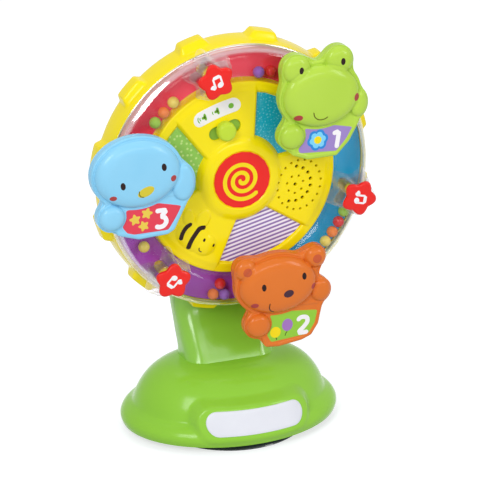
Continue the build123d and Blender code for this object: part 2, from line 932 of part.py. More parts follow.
def pin_top_h():
    """The end of a hanger pin, just in front of the animal's rear shell."""
    return animal_seam_h + running_gap


def make_hanger_caps():
    """Three caps welded on the pins, which keep the animals on them."""
    cap = disc(hanger_cap_r, pin_top_h(), pin_top_h() + hanger_cap_height)
    return [place(cap, ring_r, angle) for angle in animal_angles]


def make_circuit_board():
    """The main board behind the console, round the hub."""
    board = ring(board_r, axle_boss_r + 3.0, board_h - board_thickness, board_h)
    for angle in animal_angles:
        board -= place(bore(screw_r + fit_gap, board_h - 5, 0), console_post_ring_r, angle)
    return board


def make_speaker():
    """The speaker behind the grille: basket, cone edge and magnet."""
    basket = disc(speaker_r, console_under_h - 3.0, console_under_h)
    magnet = disc(magnet_r, console_under_h - speaker_depth, console_under_h - 3.0)
    return speaker_place(basket + magnet)


def slide_plate_top_h():
    """The front of the slide plate, just under the console."""
    return console_under_h - running_gap


def make_volume_knob():
    """The green slide: a bevelled knob, its stem through the slot and a plate behind it."""
    top = slide_plate_top_h()
    low = top - slide_plate_thickness
    neck_top = petal_top_h + running_gap
    plate_length = 2 * (2 * knob_travel + slot_width / 2 + 1.5)
    knob = Pos(0, 0, low) * Box(slide_plate_width, plate_length, slide_plate_thickness, align=outward)
    knob += disc(knob_stem_r, top, neck_top)
    knob += bevelled(oval(knob_r, knob_r, sides(knob_r)), neck_top, knob_top_h, 1.6)
    return place(knob, knob_ring_r, star_angles[0], star_angles[0])


def make_volume_switch():
    """The slide switch on the board behind the volume knob."""
    body = Pos(0, 0, board_h) * Box(8.0, 22.0, 4.0, align=outward)
    lever_top = slide_plate_top_h() - slide_plate_thickness - running_gap
    body += Pos(0, 0, board_h + 4.0) * Box(3.0, 3.0, lever_top - board_h - 4.0, align=outward)
    return place(body, knob_ring_r, star_angles[0], star_angles[0])


def make_motion_switch():
    """The ball switch on the board that starts the song when the wheel turns."""
    can = Pos(0, 0, board_h) * Box(6.0, 12.0, 6.0, align=outward)
    return place(can, knob_ring_r, animal_angles[0], animal_angles[0])


def make_song_chip():
    """The song chip's case on the board."""
    chip = Pos(0, 0, board_h) * Box(12.0, 9.0, 1.6, align=outward)
    return place(chip, knob_ring_r, star_angles[1], star_angles[1])


def battery_centre_h():
    """The level of the batteries' middles."""
    return bay_top_h() - battery_r - battery_gap / 2


def make_batteries():
    """Two small cells side by side in the bay."""
    cell = Rot(90, 0, 0) * disc(battery_r, -battery_length / 2, battery_length / 2)
    offset_x = battery_r + battery_gap / 2
    cells = [Pos(side * offset_x, 0, battery_centre_h()) * cell for side in (-1, 1)]
    return [place(one, battery_ring_r, star_angles[0], star_angles[0]) for one in cells]


def make_battery_contacts():
    """Two sprung contact plates that hold the cells by their ends."""
    height = 2 * battery_r - 2.0
    plate = Box(4 * battery_r, battery_contact, height)
    middle = (battery_length + battery_contact) / 2
    contacts = [Pos(0, side * middle, battery_centre_h()) * plate for side in (-1, 1)]
    return [place(one, battery_ring_r, star_angles[0], star_angles[0]) for one in contacts]


def make_battery_door():
    """The cover of the battery bay, flush with the wheel's back."""
    top = wheel_back_h + door_thickness
    return bay_block(door_length - 2 * fit_gap, door_width - 2 * fit_gap, wheel_back_h, top)


def make_console_screws():
    """Three long screws from the back through the shell and board into the console."""
    low = console_screw_h()
    one = Pos(0, 0, low) * screw(board_h + 5.0 - low)
    return [place(one, console_post_ring_r, angle) for angle in animal_angles]


# Animals: outlines about each pivot, as they hang

frog = {
    "head": (-6.4, 0.8, 26.6, 21.6),
    "bumps": [(-21.8, 18.8, 10.4, 10.4), (6.3, 21.7, 10.4, 10.4)],
    "arm": (19.2, -8.0, 7.3, 9.4),
    "hand": (-25.6, -23.2, 9.8, 9.8),
    "body": [(21.5, -12), (20.6, -21), (14.5, -32.5), (6, -41.5), (-14, -41.7), (-24.5, -37.5), (-24, -8)],
    "card": [(-13.2, -17.0), (17.4, -23.6), (6.2, -38.0), (-19.5, -36.5), (-22.5, -24.0)],
}
bird = {
    "head": (-0.8, 3.2, 29.8, 24.0),
    "bumps": [],
    "arm": (29.0, -6.5, 8.6, 13.0),
    "hand": (-17.6, -24.0, 9.8, 9.8),
    "body": [(33, -12), (31.5, -21), (23.5, -37.5), (19, -40), (0, -41), (-13.9, -36.5), (-20, -12)],
    "card": [(0, -15.0), (27, -22.3), (18.7, -36.7), (-6.5, -36.5), (-11.5, -29.8), (-8.0, -18.0)],
}
bear = {
    "head": (-4.5, 4.8, 28.4, 21.4),
    "bumps": [(-26.0, 17.6, 8.4, 8.4), (21.3, 20.4, 8.4, 8.4)],
    "arm": (25.2, -3.4, 7.8, 8.6),
    "hand": (-17.4, -21.8, 9.6, 9.6),
    "body": [(27.5, -10), (24.3, -26.6), (19.5, -34.2), (13, -36.8), (-3, -39), (-13.3, -38), (-18, -8)],
    "card": [(-9.1, -13.5), (23.9, -17.0), (19.5, -32.5), (-8.5, -34.8), (-12.5, -27.0)],
}


def oval_at(spec, sides, shrink=0.0):
    """An oval from its centre, half width and half height."""
    x, y, half_width, half_height = spec
    return Pos(x, y) * oval(half_width - shrink, half_height - shrink, sides)


def make_animal_front(animal, angle):
    """The moulded front of an animal: plate, domed head, bumps, arm and hand."""
    body = Polygon(*animal["body"], align=None)
    front = bevelled(body, animal_seam_h, animal_plate_h, animal_edge)
    front += dome(animal["head"], animal_seam_h, head_top_h, head_round, oval_sides)
    for bump in [animal["hand"], *animal["bumps"]]:
        front += dome(bump, animal_seam_h, limb_top_h, limb_round, limb_sides)
    front += dome(animal["arm"], animal_seam_h, animal_plate_h + 2.0, 2.5, limb_sides)
    front -= prism(oval_at(animal["head"], oval_sides, head_wall), animal_seam_h, head_top_h - head_wall)
    return place(front - card_space(animal), ring_r, angle)


def make_animal_rear(animal, angle):
    """The back half of an animal, with the bore that turns on its pin."""
    ovals = [(animal["head"], oval_sides)]
    ovals += [(limb, limb_sides) for limb in [animal["arm"], animal["hand"], *animal["bumps"]]]
    rear = prism(Polygon(*animal["body"], align=None), animal_back_h, animal_seam_h)
    for spec, sides in ovals:
        rear += prism(oval_at(spec, sides), animal_back_h, animal_seam_h)
    rear += disc(hanger_post_r, shoulder_h + running_gap, animal_back_h)
    rear -= pin(hanger_pin_r + shaft_gap, 0, animal_seam_h + 1)
    return place(rear, ring_r, angle)


def card_space(animal):
    """The recess for the card, which runs under the chin and the hand."""
    outline = Polygon(*animal["card"], align=None)
    low = animal_plate_h - card_thickness
    return prism(outline, low, animal_plate_h + 0.01)


def make_animal_card(animal, angle):
    """The printed card that the animal holds, cut back round its chin and hand."""
    low = animal_plate_h - card_thickness
    card = Polygon(*animal["card"], align=None)
    card -= oval_at(animal["head"], oval_sides, -fit_gap)
    card -= oval_at(animal["hand"], limb_sides, -fit_gap)
    return place(prism(card, low, animal_plate_h - fit_gap), ring_r, angle)


# Beads: each cluster as (distance outside the ring of posts, angle) of its beads' middles
bead_clusters = {
    "beads_red_right": [(-7.0, 78.4), (-4.4, 71.8)],
    "beads_red_left": [(-6.8, 128.2), (-7.0, 135.4), (-6.6, 142.2)],
    "beads_blue": [(4.7, 334.9), (4.7, 329.45), (4.7, 324.0), (4.7, 318.55)],
    "beads_purple_right": [(-2.4, 260.8), (4.7, 258.0), (4.7, 263.6)],
    "beads_purple_left": [(-1.6, 212.3)],
}


def bead_height(radius):
    """The level of a bead's middle as it lies on the curved tray."""
    return tray_floor_h(radius) + bead_r + bead_lift


def bead():
    """A loose bead, many-sided so that a channel full of them stays light."""
    form = prism(RegularPolygon(bead_r, bead_sides), -bead_r, bead_r)
    ends = form.faces().sort_by(Axis.Z)
    return chamfer(ends[0].edges() + ends[-1].edges(), 0.55 * bead_r)


def make_beads(cluster):
    """The beads of one cluster, loose in the channel."""
    beads = []
    for outside, angle in cluster:
        radius = ring_r + outside
        x, y = polar(radius, angle)
        beads.append(Pos(x, y, bead_height(radius)) * bead())
    return beads


def save(name, shape):
    """Writes one node, one solid or a group of separate solids, to its STEP file."""
    if isinstance(shape, list):
        shape = Compound(children=[solid for one in shape for solid in one.solids()])
    export_step(shape, os.path.join("parts", name + ".step"))


def stand_pieces():
    """Every piece of the stand, by name."""
    neck = neck_shell()
    return {
        "suction_cup": make_suction_cup(),
        "base_plate": make_base_plate(),
        "base_screws": make_base_screws(),
        "base_cover": make_base_cover(),
        "label_plate": make_label_plate(),
        "neck_front": neck & half_space(True),
        "neck_rear": neck & half_space(False),
        "neck_screws": make_neck_screws(),
    }


def wheel_pieces():
    """Every piece drawn in the wheel's frame, by name."""
    pieces = {
        "axle": make_axle(),
        "axle_clip": make_axle_clip(),
        "rear_shell": make_rear_shell(),
        "wheel_bush": make_wheel_bush(),
        "console_front": make_console_front(),
        "clear_cover": make_clear_cover(),
        "spiral_disc": make_spiral_disc(),
        "volume_label": make_volume_label(),
        "volume_knob": make_volume_knob(),
        "volume_switch": make_volume_switch(),
        "circuit_board": make_circuit_board(),
        "song_chip": make_song_chip(),
        "motion_switch": make_motion_switch(),
        "speaker": make_speaker(),
        "batteries": make_batteries(),
        "battery_contacts": make_battery_contacts(),
        "battery_door": make_battery_door(),
        "console_screws": make_console_screws(),
        "hanger_posts": make_hanger_posts(),
        "hanger_caps": make_hanger_caps(),
        "hanger_towers": [make_tower(t, shoulder_h - 0.6, hanger_post_r + fit_gap) for t in animal_angles],
        "star_towers": [make_tower(t, tower_top_h(), stem_r + shaft_gap) for t in star_angles],
        "star_boards": make_star_boards(),
        "star_switches": make_star_switches(),
        "star_leds": make_star_leds(),
    }
    for name, panel in zip(("panel_teal", "panel_green", "panel_stripes"), make_sector_panels()):
        pieces[name] = panel
    for name, start in zip(("tray_red", "tray_purple", "tray_blue"), animal_angles):
        pieces[name] = make_bead_tray(start)
    for number, angle in enumerate(star_angles, 1):
        pieces[f"star_cap_{number}"] = make_star_cap(angle)
        pieces[f"star_stem_{number}"] = make_star_stem(angle)
    for name, animal, angle in zip(("frog", "bird", "bear"), (frog, bird, bear), animal_angles):
        pieces[name + "_front"] = make_animal_front(animal, angle)
        pieces[name + "_rear"] = make_animal_rear(animal, angle)
        pieces[name + "_card"] = make_animal_card(animal, angle)
    for name, cluster in bead_clusters.items():
        pieces[name] = make_beads(cluster)
    return pieces


def main():
    """Builds every piece and writes it to its own file."""
    os.makedirs("parts", exist_ok=True)
    for name, piece in stand_pieces().items():
        save(name, piece)
    for name, piece in wheel_pieces().items():
        if isinstance(piece, list):
            save(name, [to_toy(one) for one in piece])
        else:
            save(name, to_toy(piece))


if __name__ == "__main__":
    main()
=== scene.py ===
from math import cos, pi, radians, sin

import bmesh
import bpy
import numpy as np
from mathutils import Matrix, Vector


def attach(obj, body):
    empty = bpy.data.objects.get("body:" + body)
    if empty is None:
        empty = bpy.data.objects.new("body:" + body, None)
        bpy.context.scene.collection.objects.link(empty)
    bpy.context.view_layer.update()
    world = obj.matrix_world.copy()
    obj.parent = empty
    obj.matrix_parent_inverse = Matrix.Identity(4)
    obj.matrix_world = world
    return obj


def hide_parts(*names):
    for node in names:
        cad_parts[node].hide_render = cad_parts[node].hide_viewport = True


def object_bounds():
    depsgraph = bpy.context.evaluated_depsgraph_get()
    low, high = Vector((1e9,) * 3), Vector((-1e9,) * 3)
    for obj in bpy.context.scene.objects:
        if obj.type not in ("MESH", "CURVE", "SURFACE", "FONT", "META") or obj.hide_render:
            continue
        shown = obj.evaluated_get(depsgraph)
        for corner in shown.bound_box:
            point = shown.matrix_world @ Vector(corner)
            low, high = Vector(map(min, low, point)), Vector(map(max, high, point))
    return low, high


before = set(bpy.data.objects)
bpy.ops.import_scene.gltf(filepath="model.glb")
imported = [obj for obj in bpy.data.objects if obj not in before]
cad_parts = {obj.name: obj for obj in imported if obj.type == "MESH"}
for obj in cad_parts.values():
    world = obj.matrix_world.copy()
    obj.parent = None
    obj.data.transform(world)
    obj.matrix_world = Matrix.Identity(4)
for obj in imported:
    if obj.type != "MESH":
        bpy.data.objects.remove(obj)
cad_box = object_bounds()

# Camera, floor and light
# A long lens looks down on the toy from its left. Big soft panels light it as in a studio,
# and the pale floor and the world behind it show as white.
turn, rise, away = radians(20.5), radians(22.5), 1.8
aim = Vector((0.0, 0.0, 0.12))
eye = aim + away * Vector((-sin(turn) * cos(rise), -cos(turn) * cos(rise), sin(rise)))
camera = bpy.data.objects.new("camera", bpy.data.cameras.new("camera"))
camera.location = eye
camera.rotation_euler = (aim - eye).to_track_quat("-Z", "Y").to_euler()
camera.data.sensor_width = 36.0
camera.data.lens = 209.5
camera.data.shift_x = 0.0232
camera.data.shift_y = 0.0183
bpy.context.scene.collection.objects.link(camera)
bpy.context.scene.camera = camera
bpy.context.scene.view_settings.view_transform = "Standard"


def linear(code):
    """An sRGB hex colour as linear red, green, blue and alpha."""
    parts = [int(code[k:k + 2], 16) / 255 for k in (1, 3, 5)]
    return [p / 12.92 if p <= 0.04045 else ((p + 0.055) / 1.055) ** 2.4 for p in parts] + [1.0]


def add(tree, kind, inputs=None, **settings):
    """Adds one node. Its settings are by name. Each input is a value, a socket to link, or a node
    whose first output is linked."""
    made = tree.nodes.new("ShaderNode" + kind)
    for name, value in settings.items():
        setattr(made, name, value)
    for name, value in (inputs or {}).items():
        if isinstance(value, bpy.types.Node):
            value = value.outputs[0]
        if isinstance(value, bpy.types.NodeSocket):
            tree.links.new(value, made.inputs[name])
        else:
            made.inputs[name].default_value = value
    return made


def material(name):
    """A new material with an empty tree."""
    made = bpy.data.materials.new(name)
    made.use_nodes = True
    made.node_tree.nodes.clear()
    return made, made.node_tree


def seen(tree):
    """One where the camera, a reflection or clear plastic looks, so that all three show the same
    white."""
    path = add(tree, "LightPath").outputs
    both = add(tree, "Math", {0: path["Is Camera Ray"], 1: path["Is Glossy Ray"]}, operation="MAXIMUM")
    return add(tree, "Math", {0: both, 1: path["Is Transmission Ray"]}, operation="MAXIMUM")


def lamp(name, place, width, height, power):
    """A soft panel of light that faces the toy."""
    data = bpy.data.lights.new(name, "AREA")
    data.shape = "RECTANGLE"
    data.size, data.size_y, data.energy = width, height, power
    made = bpy.data.objects.new(name, data)
    made.location = place
    made.rotation_euler = (aim - Vector(place)).to_track_quat("-Z", "Y").to_euler()
    bpy.context.scene.collection.objects.link(made)


lamp("key", (-1.25, -1.35, 1.35), 0.7, 0.9, 19.5)
lamp("fill", (1.3, -1.4, 0.95), 0.4, 0.8, 8.0)
lamp("front", (0.15, -1.95, 1.0), 1.3, 0.24, 6.0)
lamp("top", (0.1, 0.3, 1.7), 1.3, 0.9, 5.0)

world = bpy.data.worlds.new("studio")
bpy.context.scene.world = world
world.use_nodes = True
tree = world.node_tree
tree.nodes.clear()
room = add(tree, "Background", {"Color": linear("#F4F7FF"), "Strength": 0.48})
white = add(tree, "Background", {"Color": linear("#FFFFFF"), "Strength": 1.0})
add(tree, "OutputWorld", {"Surface": add(tree, "MixShader", {0: seen(tree), 1: room, 2: white})})

# The floor is pale laminate: matt, so the toy leaves only a soft shadow on it.
laminate, tree = material("matt_laminate")
matt = add(tree, "BsdfDiffuse", {"Color": linear("#C9CBCE")})
dark = add(tree, "Emission", {"Color": linear("#000000"), "Strength": 0.0})
glow = add(tree, "Emission", {"Color": linear("#FFFFFF"), "Strength": 0.62})
lift = add(tree, "MixShader", {0: seen(tree), 1: dark, 2: glow})
add(tree, "OutputMaterial", {"Surface": add(tree, "AddShader", {0: matt, 1: lift})})
floor_half = 6.0
corners = [(floor_half * x, floor_half * y, 0) for x, y in ((-1, -1), (1, -1), (1, 1), (-1, 1))]
floor_mesh = bpy.data.meshes.new("floor")
floor_mesh.from_pydata(corners, [], [(0, 1, 2, 3)])
floor_mesh.materials.append(laminate)
floor = bpy.data.objects.new("floor", floor_mesh)
bpy.context.scene.collection.objects.link(floor)

# Suction cup
# A dished disc of soft smoke-tinted PVC, moulded in one piece with the button that snaps into
# the base. Its thin bell lets some light through, and its skin is glossy so that it seals.


def curve(points, count):
    """A smooth line through points: between each two a cubic whose slope at a point is that of
    the chord between its neighbours, sampled evenly by length."""
    points = np.asarray(points, float)
    run = np.concatenate([[0], np.cumsum(np.linalg.norm(np.diff(points, axis=0), axis=1))])
    slope = np.gradient(points, run, axis=0)
    place = np.linspace(0, run[-1], count)
    k = np.clip(np.searchsorted(run, place, side="right") - 1, 0, len(run) - 2)
    width = (run[k + 1] - run[k])[:, None]
    t = (place - run[k])[:, None] / width
    a, b = 2 * t**3 - 3 * t**2 + 1, t**3 - 2 * t**2 + t
    c, d = 3 * t**2 - 2 * t**3, t**3 - t**2
    return a * points[k] + b * width * slope[k] + c * points[k + 1] + d * width * slope[k + 1]


def skin(loops, ends=True):
    """Points and four-sided faces that join each closed loop to the next. With ends, the first
    and last loop are closed to their middles."""
    loops = np.asarray(loops, float)
    if ends:
        first = np.broadcast_to(loops[0].mean(0), loops[0].shape)[None]
        last = np.broadcast_to(loops[-1].mean(0), loops[-1].shape)[None]
        loops = np.concatenate([first, loops, last])
    rows, columns = loops.shape[:2]
    index = np.arange(rows * columns).reshape(rows, columns)
    ahead = np.roll(index, -1, 1)
    faces = np.stack([index[:-1], ahead[:-1], ahead[1:], index[1:]], -1).reshape(-1, 4)
    return loops.reshape(-1, 3), faces


def piece(name, skins, finish, body, closed=True):
    """Makes one object from skins in millimetres: joins them, merges doubled points at seams and
    poles, turns faces outwards where it is closed, and puts it on its body."""
    points, faces, start = [], [], 0
    for some_points, some_faces in skins:
        points.append(some_points / 1000.0)
        faces.append(some_faces + start)
        start += len(some_points)
    mesh = bpy.data.meshes.new(name)
    mesh.from_pydata(np.concatenate(points).tolist(), [], np.concatenate(faces).tolist())
    work = bmesh.new()
    work.from_mesh(mesh)
    bmesh.ops.remove_doubles(work, verts=work.verts, dist=1e-6)
    if closed:
        bmesh.ops.recalc_face_normals(work, faces=work.faces)
    work.to_mesh(mesh)
    work.free()
    mesh.shade_smooth()
    mesh.set_sharp_from_angle(angle=radians(38.0))
    mesh.materials.append(finish)
    made = bpy.data.objects.new(name, mesh)
    bpy.context.scene.collection.objects.link(made)
    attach(made, body)
    return made


def upright(profile, columns=96):
    """Loops turned about the cup's upright axis from a line of (radius, height)."""
    turns = np.linspace(0, 2 * pi, columns, endpoint=False)
    radius, height = np.asarray(profile, float).T[..., None]
    return np.stack(np.broadcast_arrays(radius * np.cos(turns), radius * np.sin(turns), height), -1)


def grain(tree, size, detail=2.0):
    """Noise whose patches are about this many millimetres across, on object coordinates."""
    place = add(tree, "TexCoord").outputs["Object"]
    return add(tree, "TexNoise", {"Vector": place, "Scale": 1000.0 / size, "Detail": detail})


def drifting(tree, low, high, size):
    """A colour that drifts between two hex colours over patches of a size in millimetres."""
    inputs = {0: grain(tree, size), 6: linear(low), 7: linear(high)}
    return add(tree, "Mix", inputs, data_type="RGBA").outputs[2]


def uneven(tree, low, high, size, detail=2.0):
    """A value, such as a roughness, that varies over patches of a size in millimetres."""
    return add(tree, "MapRange", {0: grain(tree, size, detail), 3: low, 4: high})


pvc, tree = material("smoke_pvc_moulded")
tint, haze = drifting(tree, "#1E2426", "#4A5355", 22.0), uneven(tree, 0.12, 0.26, 5.0)
solid = add(tree, "BsdfPrincipled", {"Base Color": tint, "Roughness": haze, "IOR": 1.53, "Coat Weight": 0.4})
through = add(tree, "BsdfTransparent", {"Color": linear("#8D9699")})
add(tree, "OutputMaterial", {"Surface": add(tree, "MixShader", {0: 0.82, 1: through, 2: solid})})

cup_under = curve([(0.1, 8.6), (14, 8.2), (28, 6.0), (40, 2.6), (45.5, 0.15), (50.6, 0.05)], 26)
cup_over = curve([(51, 0.5), (50.6, 1.3), (44, 4.6), (34.5, 8.8), (20, 12.2), (9.0, 12.9)], 26)
cup_button = [(9, 13), (7, 13.02), (7, 15.45), (9, 15.5), (9, 18.6), (8.2, 19.5), (5, 19.5)]
cup_line = np.concatenate([cup_under, cup_over, cup_button])
cup = piece("suction_cup_soft", [skin(upright(cup_line))], pvc, "stand")
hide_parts("suction_cup")

# Base plate and its screws
# A flat green plate closes the base from below. The soft cup's button snaps into its middle,
# and four steel pan-head screws hold it to the shell.


def moulded(name, low, high, gloss=0.16, wave=7.0, patch=60.0):
    """Injection-moulded plastic from a polished tool: an even colour that drifts a little, a clear
    gloss, and a waviness 0.04 mm deep that bends the reflections of the panels."""
    made, tree = material(name)
    ripple = add(tree, "Bump", {"Height": grain(tree, wave, 1.0), "Strength": 0.5, "Distance": 0.00004})
    inputs = {
        "Base Color": drifting(tree, low, high, patch),
        "Roughness": uneven(tree, gloss * 0.8, gloss * 1.35, 11.0, 3.0),
        "Normal": ripple,
        "IOR": 1.52,
        "Specular IOR Level": 0.2,
    }
    add(tree, "OutputMaterial", {"Surface": add(tree, "BsdfPrincipled", inputs)})
    return made


def dress(finish, *nodes):
    """Gives CAD pieces their material."""
    for node in nodes:
        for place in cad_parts[node].material_slots:
            place.material = finish


green_abs = moulded("green_abs_moulded", "#8CC836", "#99D242", gloss=0.17)
dress(green_abs, "base_plate")

# Zinc-plated steel is bright and a little milky, with fine marks from the driver.
zinc, tree = material("zinc_plated_steel")
tint, dull = drifting(tree, "#A9AEB3", "#C9CED2", 1.5), uneven(tree, 0.24, 0.42, 0.8, 4.0)
bright = add(tree, "BsdfPrincipled", {"Base Color": tint, "Metallic": 1.0, "Roughness": dull})
add(tree, "OutputMaterial", {"Surface": bright})
dress(zinc, "base_screws", "neck_screws", "console_screws")

# Base cover and label plate
# The base is one glossy green moulding: a dome that flares into a rounded lip, with a raised pad
# in front. The pad carries a pale satin plate, which is bare here.
base_depth_less, base_depth_share = 17.0, 0.55
base_outside = [
    (0.1, 46.4), (22, 46.4), (34, 46.2), (41, 45.2), (47, 42.9), (52.5, 39.2), (57.3, 34.2), (61.0, 28.6),
    (63.1, 24.2), (64.3, 21.0), (65.2, 18.9), (66.9, 17.5), (69.6, 15.7), (71.8, 13.2), (72.9, 10.6),
    (73.0, 9.0), (72.6, 7.2), (72.0, 5.6),
]
base_inside = [
    (71, 5.5), (70.2, 6.6), (70.2, 9.6), (64, 17.5), (58, 28), (51, 37), (43, 42.2), (24, 43.6), (0.1, 43.6),
]
pad_foot_y, pad_foot_z, pad_lean, pad_middle_z = 60.5, 3.5, 13.9 / 32.0, 21.0
pad_half_length, pad_half_height, pad_edge = 41.5, 13.0, 5.0
label_straight, label_half_height = 25.5, 7.5


def base_loops(line):
    """Loops round the base from a line of (half length, height): ovals whose depth is less than
    their length by a fixed size, but never under a share of it."""
    turns = np.linspace(0, 2 * pi, 512, endpoint=False)
    half, z = np.asarray(line, float).T[..., None]
    deep = np.maximum(half - base_depth_less, half * base_depth_share)
    return np.stack(np.broadcast_arrays(half * np.cos(turns), deep * np.sin(turns), z), -1)


def pad_front(x, z):
    """The pad's leaning oval face: how far forward it is at a width and height."""
    deep = pad_foot_y - (z - pad_foot_z) * pad_lean
    return -deep * np.sqrt(np.clip(1 - (x / (deep + base_depth_less)) ** 2, 0, 1))


def bar_gap(along, across, half_length, half_height):
    """How far a point is outside a bar with round ends."""
    return np.hypot(np.maximum(np.abs(along) - (half_length - half_height), 0), across) - half_height


def eased(share):
    """A share from 0 to 1 that starts and stops softly."""
    share = np.clip(share, 0, 1)
    return share * share * (3 - 2 * share)


outside = base_loops(curve(base_outside, 120))
x, y, z = np.moveaxis(outside, -1, 0)
inside_pad = -bar_gap(x, z - pad_middle_z, pad_half_length, pad_half_height)
raised = eased(inside_pad / pad_edge + 0.1) * (y < 0)
outside[..., 1] = y + raised * np.minimum(pad_front(x, z) - y, 0)
base_skin = skin(np.concatenate([outside, base_loops(base_inside)]))
base = piece("base_cover_smooth", [base_skin], green_abs, "stand")
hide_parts("base_cover")

# The plate is a polystyrene sheet with a satin face.
satin_white, tree = material("satin_polystyrene")
tint, dull = drifting(tree, "#DCDDE4", "#E6E7EC", 14.0), uneven(tree, 0.3, 0.42, 2.0)
satin = add(tree, "BsdfPrincipled", {"Base Color": tint, "Roughness": dull, "IOR": 1.5})
add(tree, "OutputMaterial", {"Surface": satin})


def stadium(half_length, half_height, ends=24, sides=40):
    """Points round a bar with round ends, its straight sides divided too."""
    turns = np.linspace(-pi / 2, pi / 2, ends)
    straight = half_length - half_height
    over = np.stack([straight + half_height * np.cos(turns), half_height * np.sin(turns)], -1)
    back = np.linspace(straight, -straight, sides)[1:-1]
    over = np.concatenate([over, np.stack([back, np.full(len(back), half_height)], -1)])
    return np.concatenate([over, -over])


plate_edge = [(0, 0.6), (0.35, 0.6), (0.7, 0.6), (0.94, 0.6), (0.98, 0.52), (1, 0.3), (1, -0.3), (0, -0.3)]
rings = []
for share, proud in plate_edge:
    x, z = stadium(label_straight + label_half_height * share, label_half_height * share).T
    z = z + pad_middle_z
    rings.append(np.stack([x, pad_front(x, z) - proud, z], -1))
plate = piece("label_plate_bare", [skin(rings, ends=False)], satin_white, "stand")
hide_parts("label_plate")

# Neck
# Two green half shells are screwed together from the back along an upright seam. The column
# leans back from the base and ends in a round head behind the wheel.
axle_z, wheel_y = 176.15, -19.25
neck_head_r, neck_front_y, neck_back_y, neck_corner = 43.0, 8.8, 37.0, 12.5
neck_foot_z, neck_back_h, neck_well_r = 40.0, wheel_y - neck_back_y, 3.2
neck_wells = [(-24.0, 92.0 - axle_z), (24.0, 92.0 - axle_z), (0.0, 29.0)]
half_line = curve(
    [(neck_foot_z, 32), (46, 30.6), (60, 31), (110, 34.6), (150, 39.5), (axle_z, neck_head_r)],
    60,
)
front_line = curve(
    [(neck_foot_z, -14.0), (46, -11.4), (50.5, -9.0), (65, -1.2), (80, 7.0), (86, 8.5), (92, neck_front_y),
     (axle_z, neck_front_y)],
    60,
)
back_line = curve(
    [(neck_foot_z, 24), (46, 24), (50.5, 25.2), (65, 30.4), (80, 35.7), (86, 36.9), (92, neck_back_y),
     (axle_z, neck_back_y)],
    60,
)


def neck_loop(reach_x, reach_z, middle_z, front, back):
    """One closed section: from the spine out over the front face, round the edge, and back to the
    spine behind, then the same on the other side. The edges are quarter rounds."""
    length = np.hypot(reach_x, reach_z - middle_z)
    edge = length - neck_corner
    lean = np.linspace(0, pi / 2, 9)
    face = np.linspace(0, 1, 22)[:-1] * edge
    rounds = edge + neck_corner * np.sin(lean), edge + neck_corner * np.cos(lean)
    out = np.concatenate([face, *rounds, face[::-1]])
    to_side, to_back = front + neck_corner * (1 - np.cos(lean)), back - neck_corner * (1 - np.sin(lean))
    depth = np.concatenate([np.full(face.shape, front), to_side, to_back, np.full(face.shape, back)])
    along_x, along_z = reach_x / length, (reach_z - middle_z) / length
    right = np.stack([out * along_x, depth, middle_z + out * along_z], -1)
    left = right[::-1] * (-1, 1, 1)
    return np.concatenate([right, left[1:-1]])


def on_wheel(x, y, h):
    """Points drawn on the wheel, h towards the child, in the toy's millimetres."""
    x, y, h = np.broadcast_arrays(x, y, h)
    return np.stack([x, wheel_y - h, axle_z + y], -1)


def face_places(points, faces):
    """Where the middle of each face lies: x, y and h on the wheel."""
    middle = points[faces].mean(1)
    return middle[:, 0], middle[:, 2] - axle_z, wheel_y - middle[:, 1]


def near(x, y, places, radius):
    """Where a point lies within a radius of any of some places."""
    return np.any([np.hypot(x - px, y - py) < radius for px, py in places], axis=0)


def round_line(middle, radius, count=24):
    """Points round a circle about a place."""
    turns = np.linspace(0, 2 * pi, count, endpoint=False)
    return np.stack([middle[0] + radius * np.cos(turns), middle[1] + radius * np.sin(turns)], -1)


def flat(height):
    """A level surface, as a function of a place, like the curved ones."""
    return lambda x, y: np.full(np.shape(x), height)


def opening(outline, middle, level, depth=2.4, cover=1.1, way=1.0):
    """The edge of an opening in a moulding: a flat border on the surface, a small round and a
    straight wall down through it. The way is 1 on the front and -1 on the back."""
    out = outline - middle
    reach = np.linalg.norm(out, axis=1, keepdims=True)
    rows = []
    for grow, drop in ((cover, -0.03), (0.3, -0.03), (0.12, 0.02), (0.02, 0.16), (0.0, 0.35), (0.0, depth)):
        x, y = (middle + out * (1 + grow / reach)).T
        rows.append(on_wheel(x, y, level(x, y) - way * drop))
    return skin(rows, ends=False)


loops = [
    neck_loop(np.interp(at, *half_line.T), at, at, np.interp(at, *front_line.T), np.interp(at, *back_line.T))
    for at in np.linspace(neck_foot_z, axle_z, 110)
]
for lean in np.linspace(0, pi / 2, 60)[1:]:
    reach_x, reach_z = neck_head_r * cos(lean), axle_z + neck_head_r * sin(lean)
    loops.append(neck_loop(reach_x, reach_z, axle_z, neck_front_y, neck_back_y))
foot = np.broadcast_to(loops[0].mean(0), loops[0].shape)
points, faces = skin([foot, *loops], ends=False)
x, y, h = face_places(points, faces)
cut = near(x, y, neck_wells, neck_well_r + 0.1) & (h < neck_back_h + 1.0)
wells = [
    opening(round_line(place, neck_well_r), place, flat(neck_back_h), depth=6.0, cover=1.6, way=-1.0)
    for place in neck_wells
]

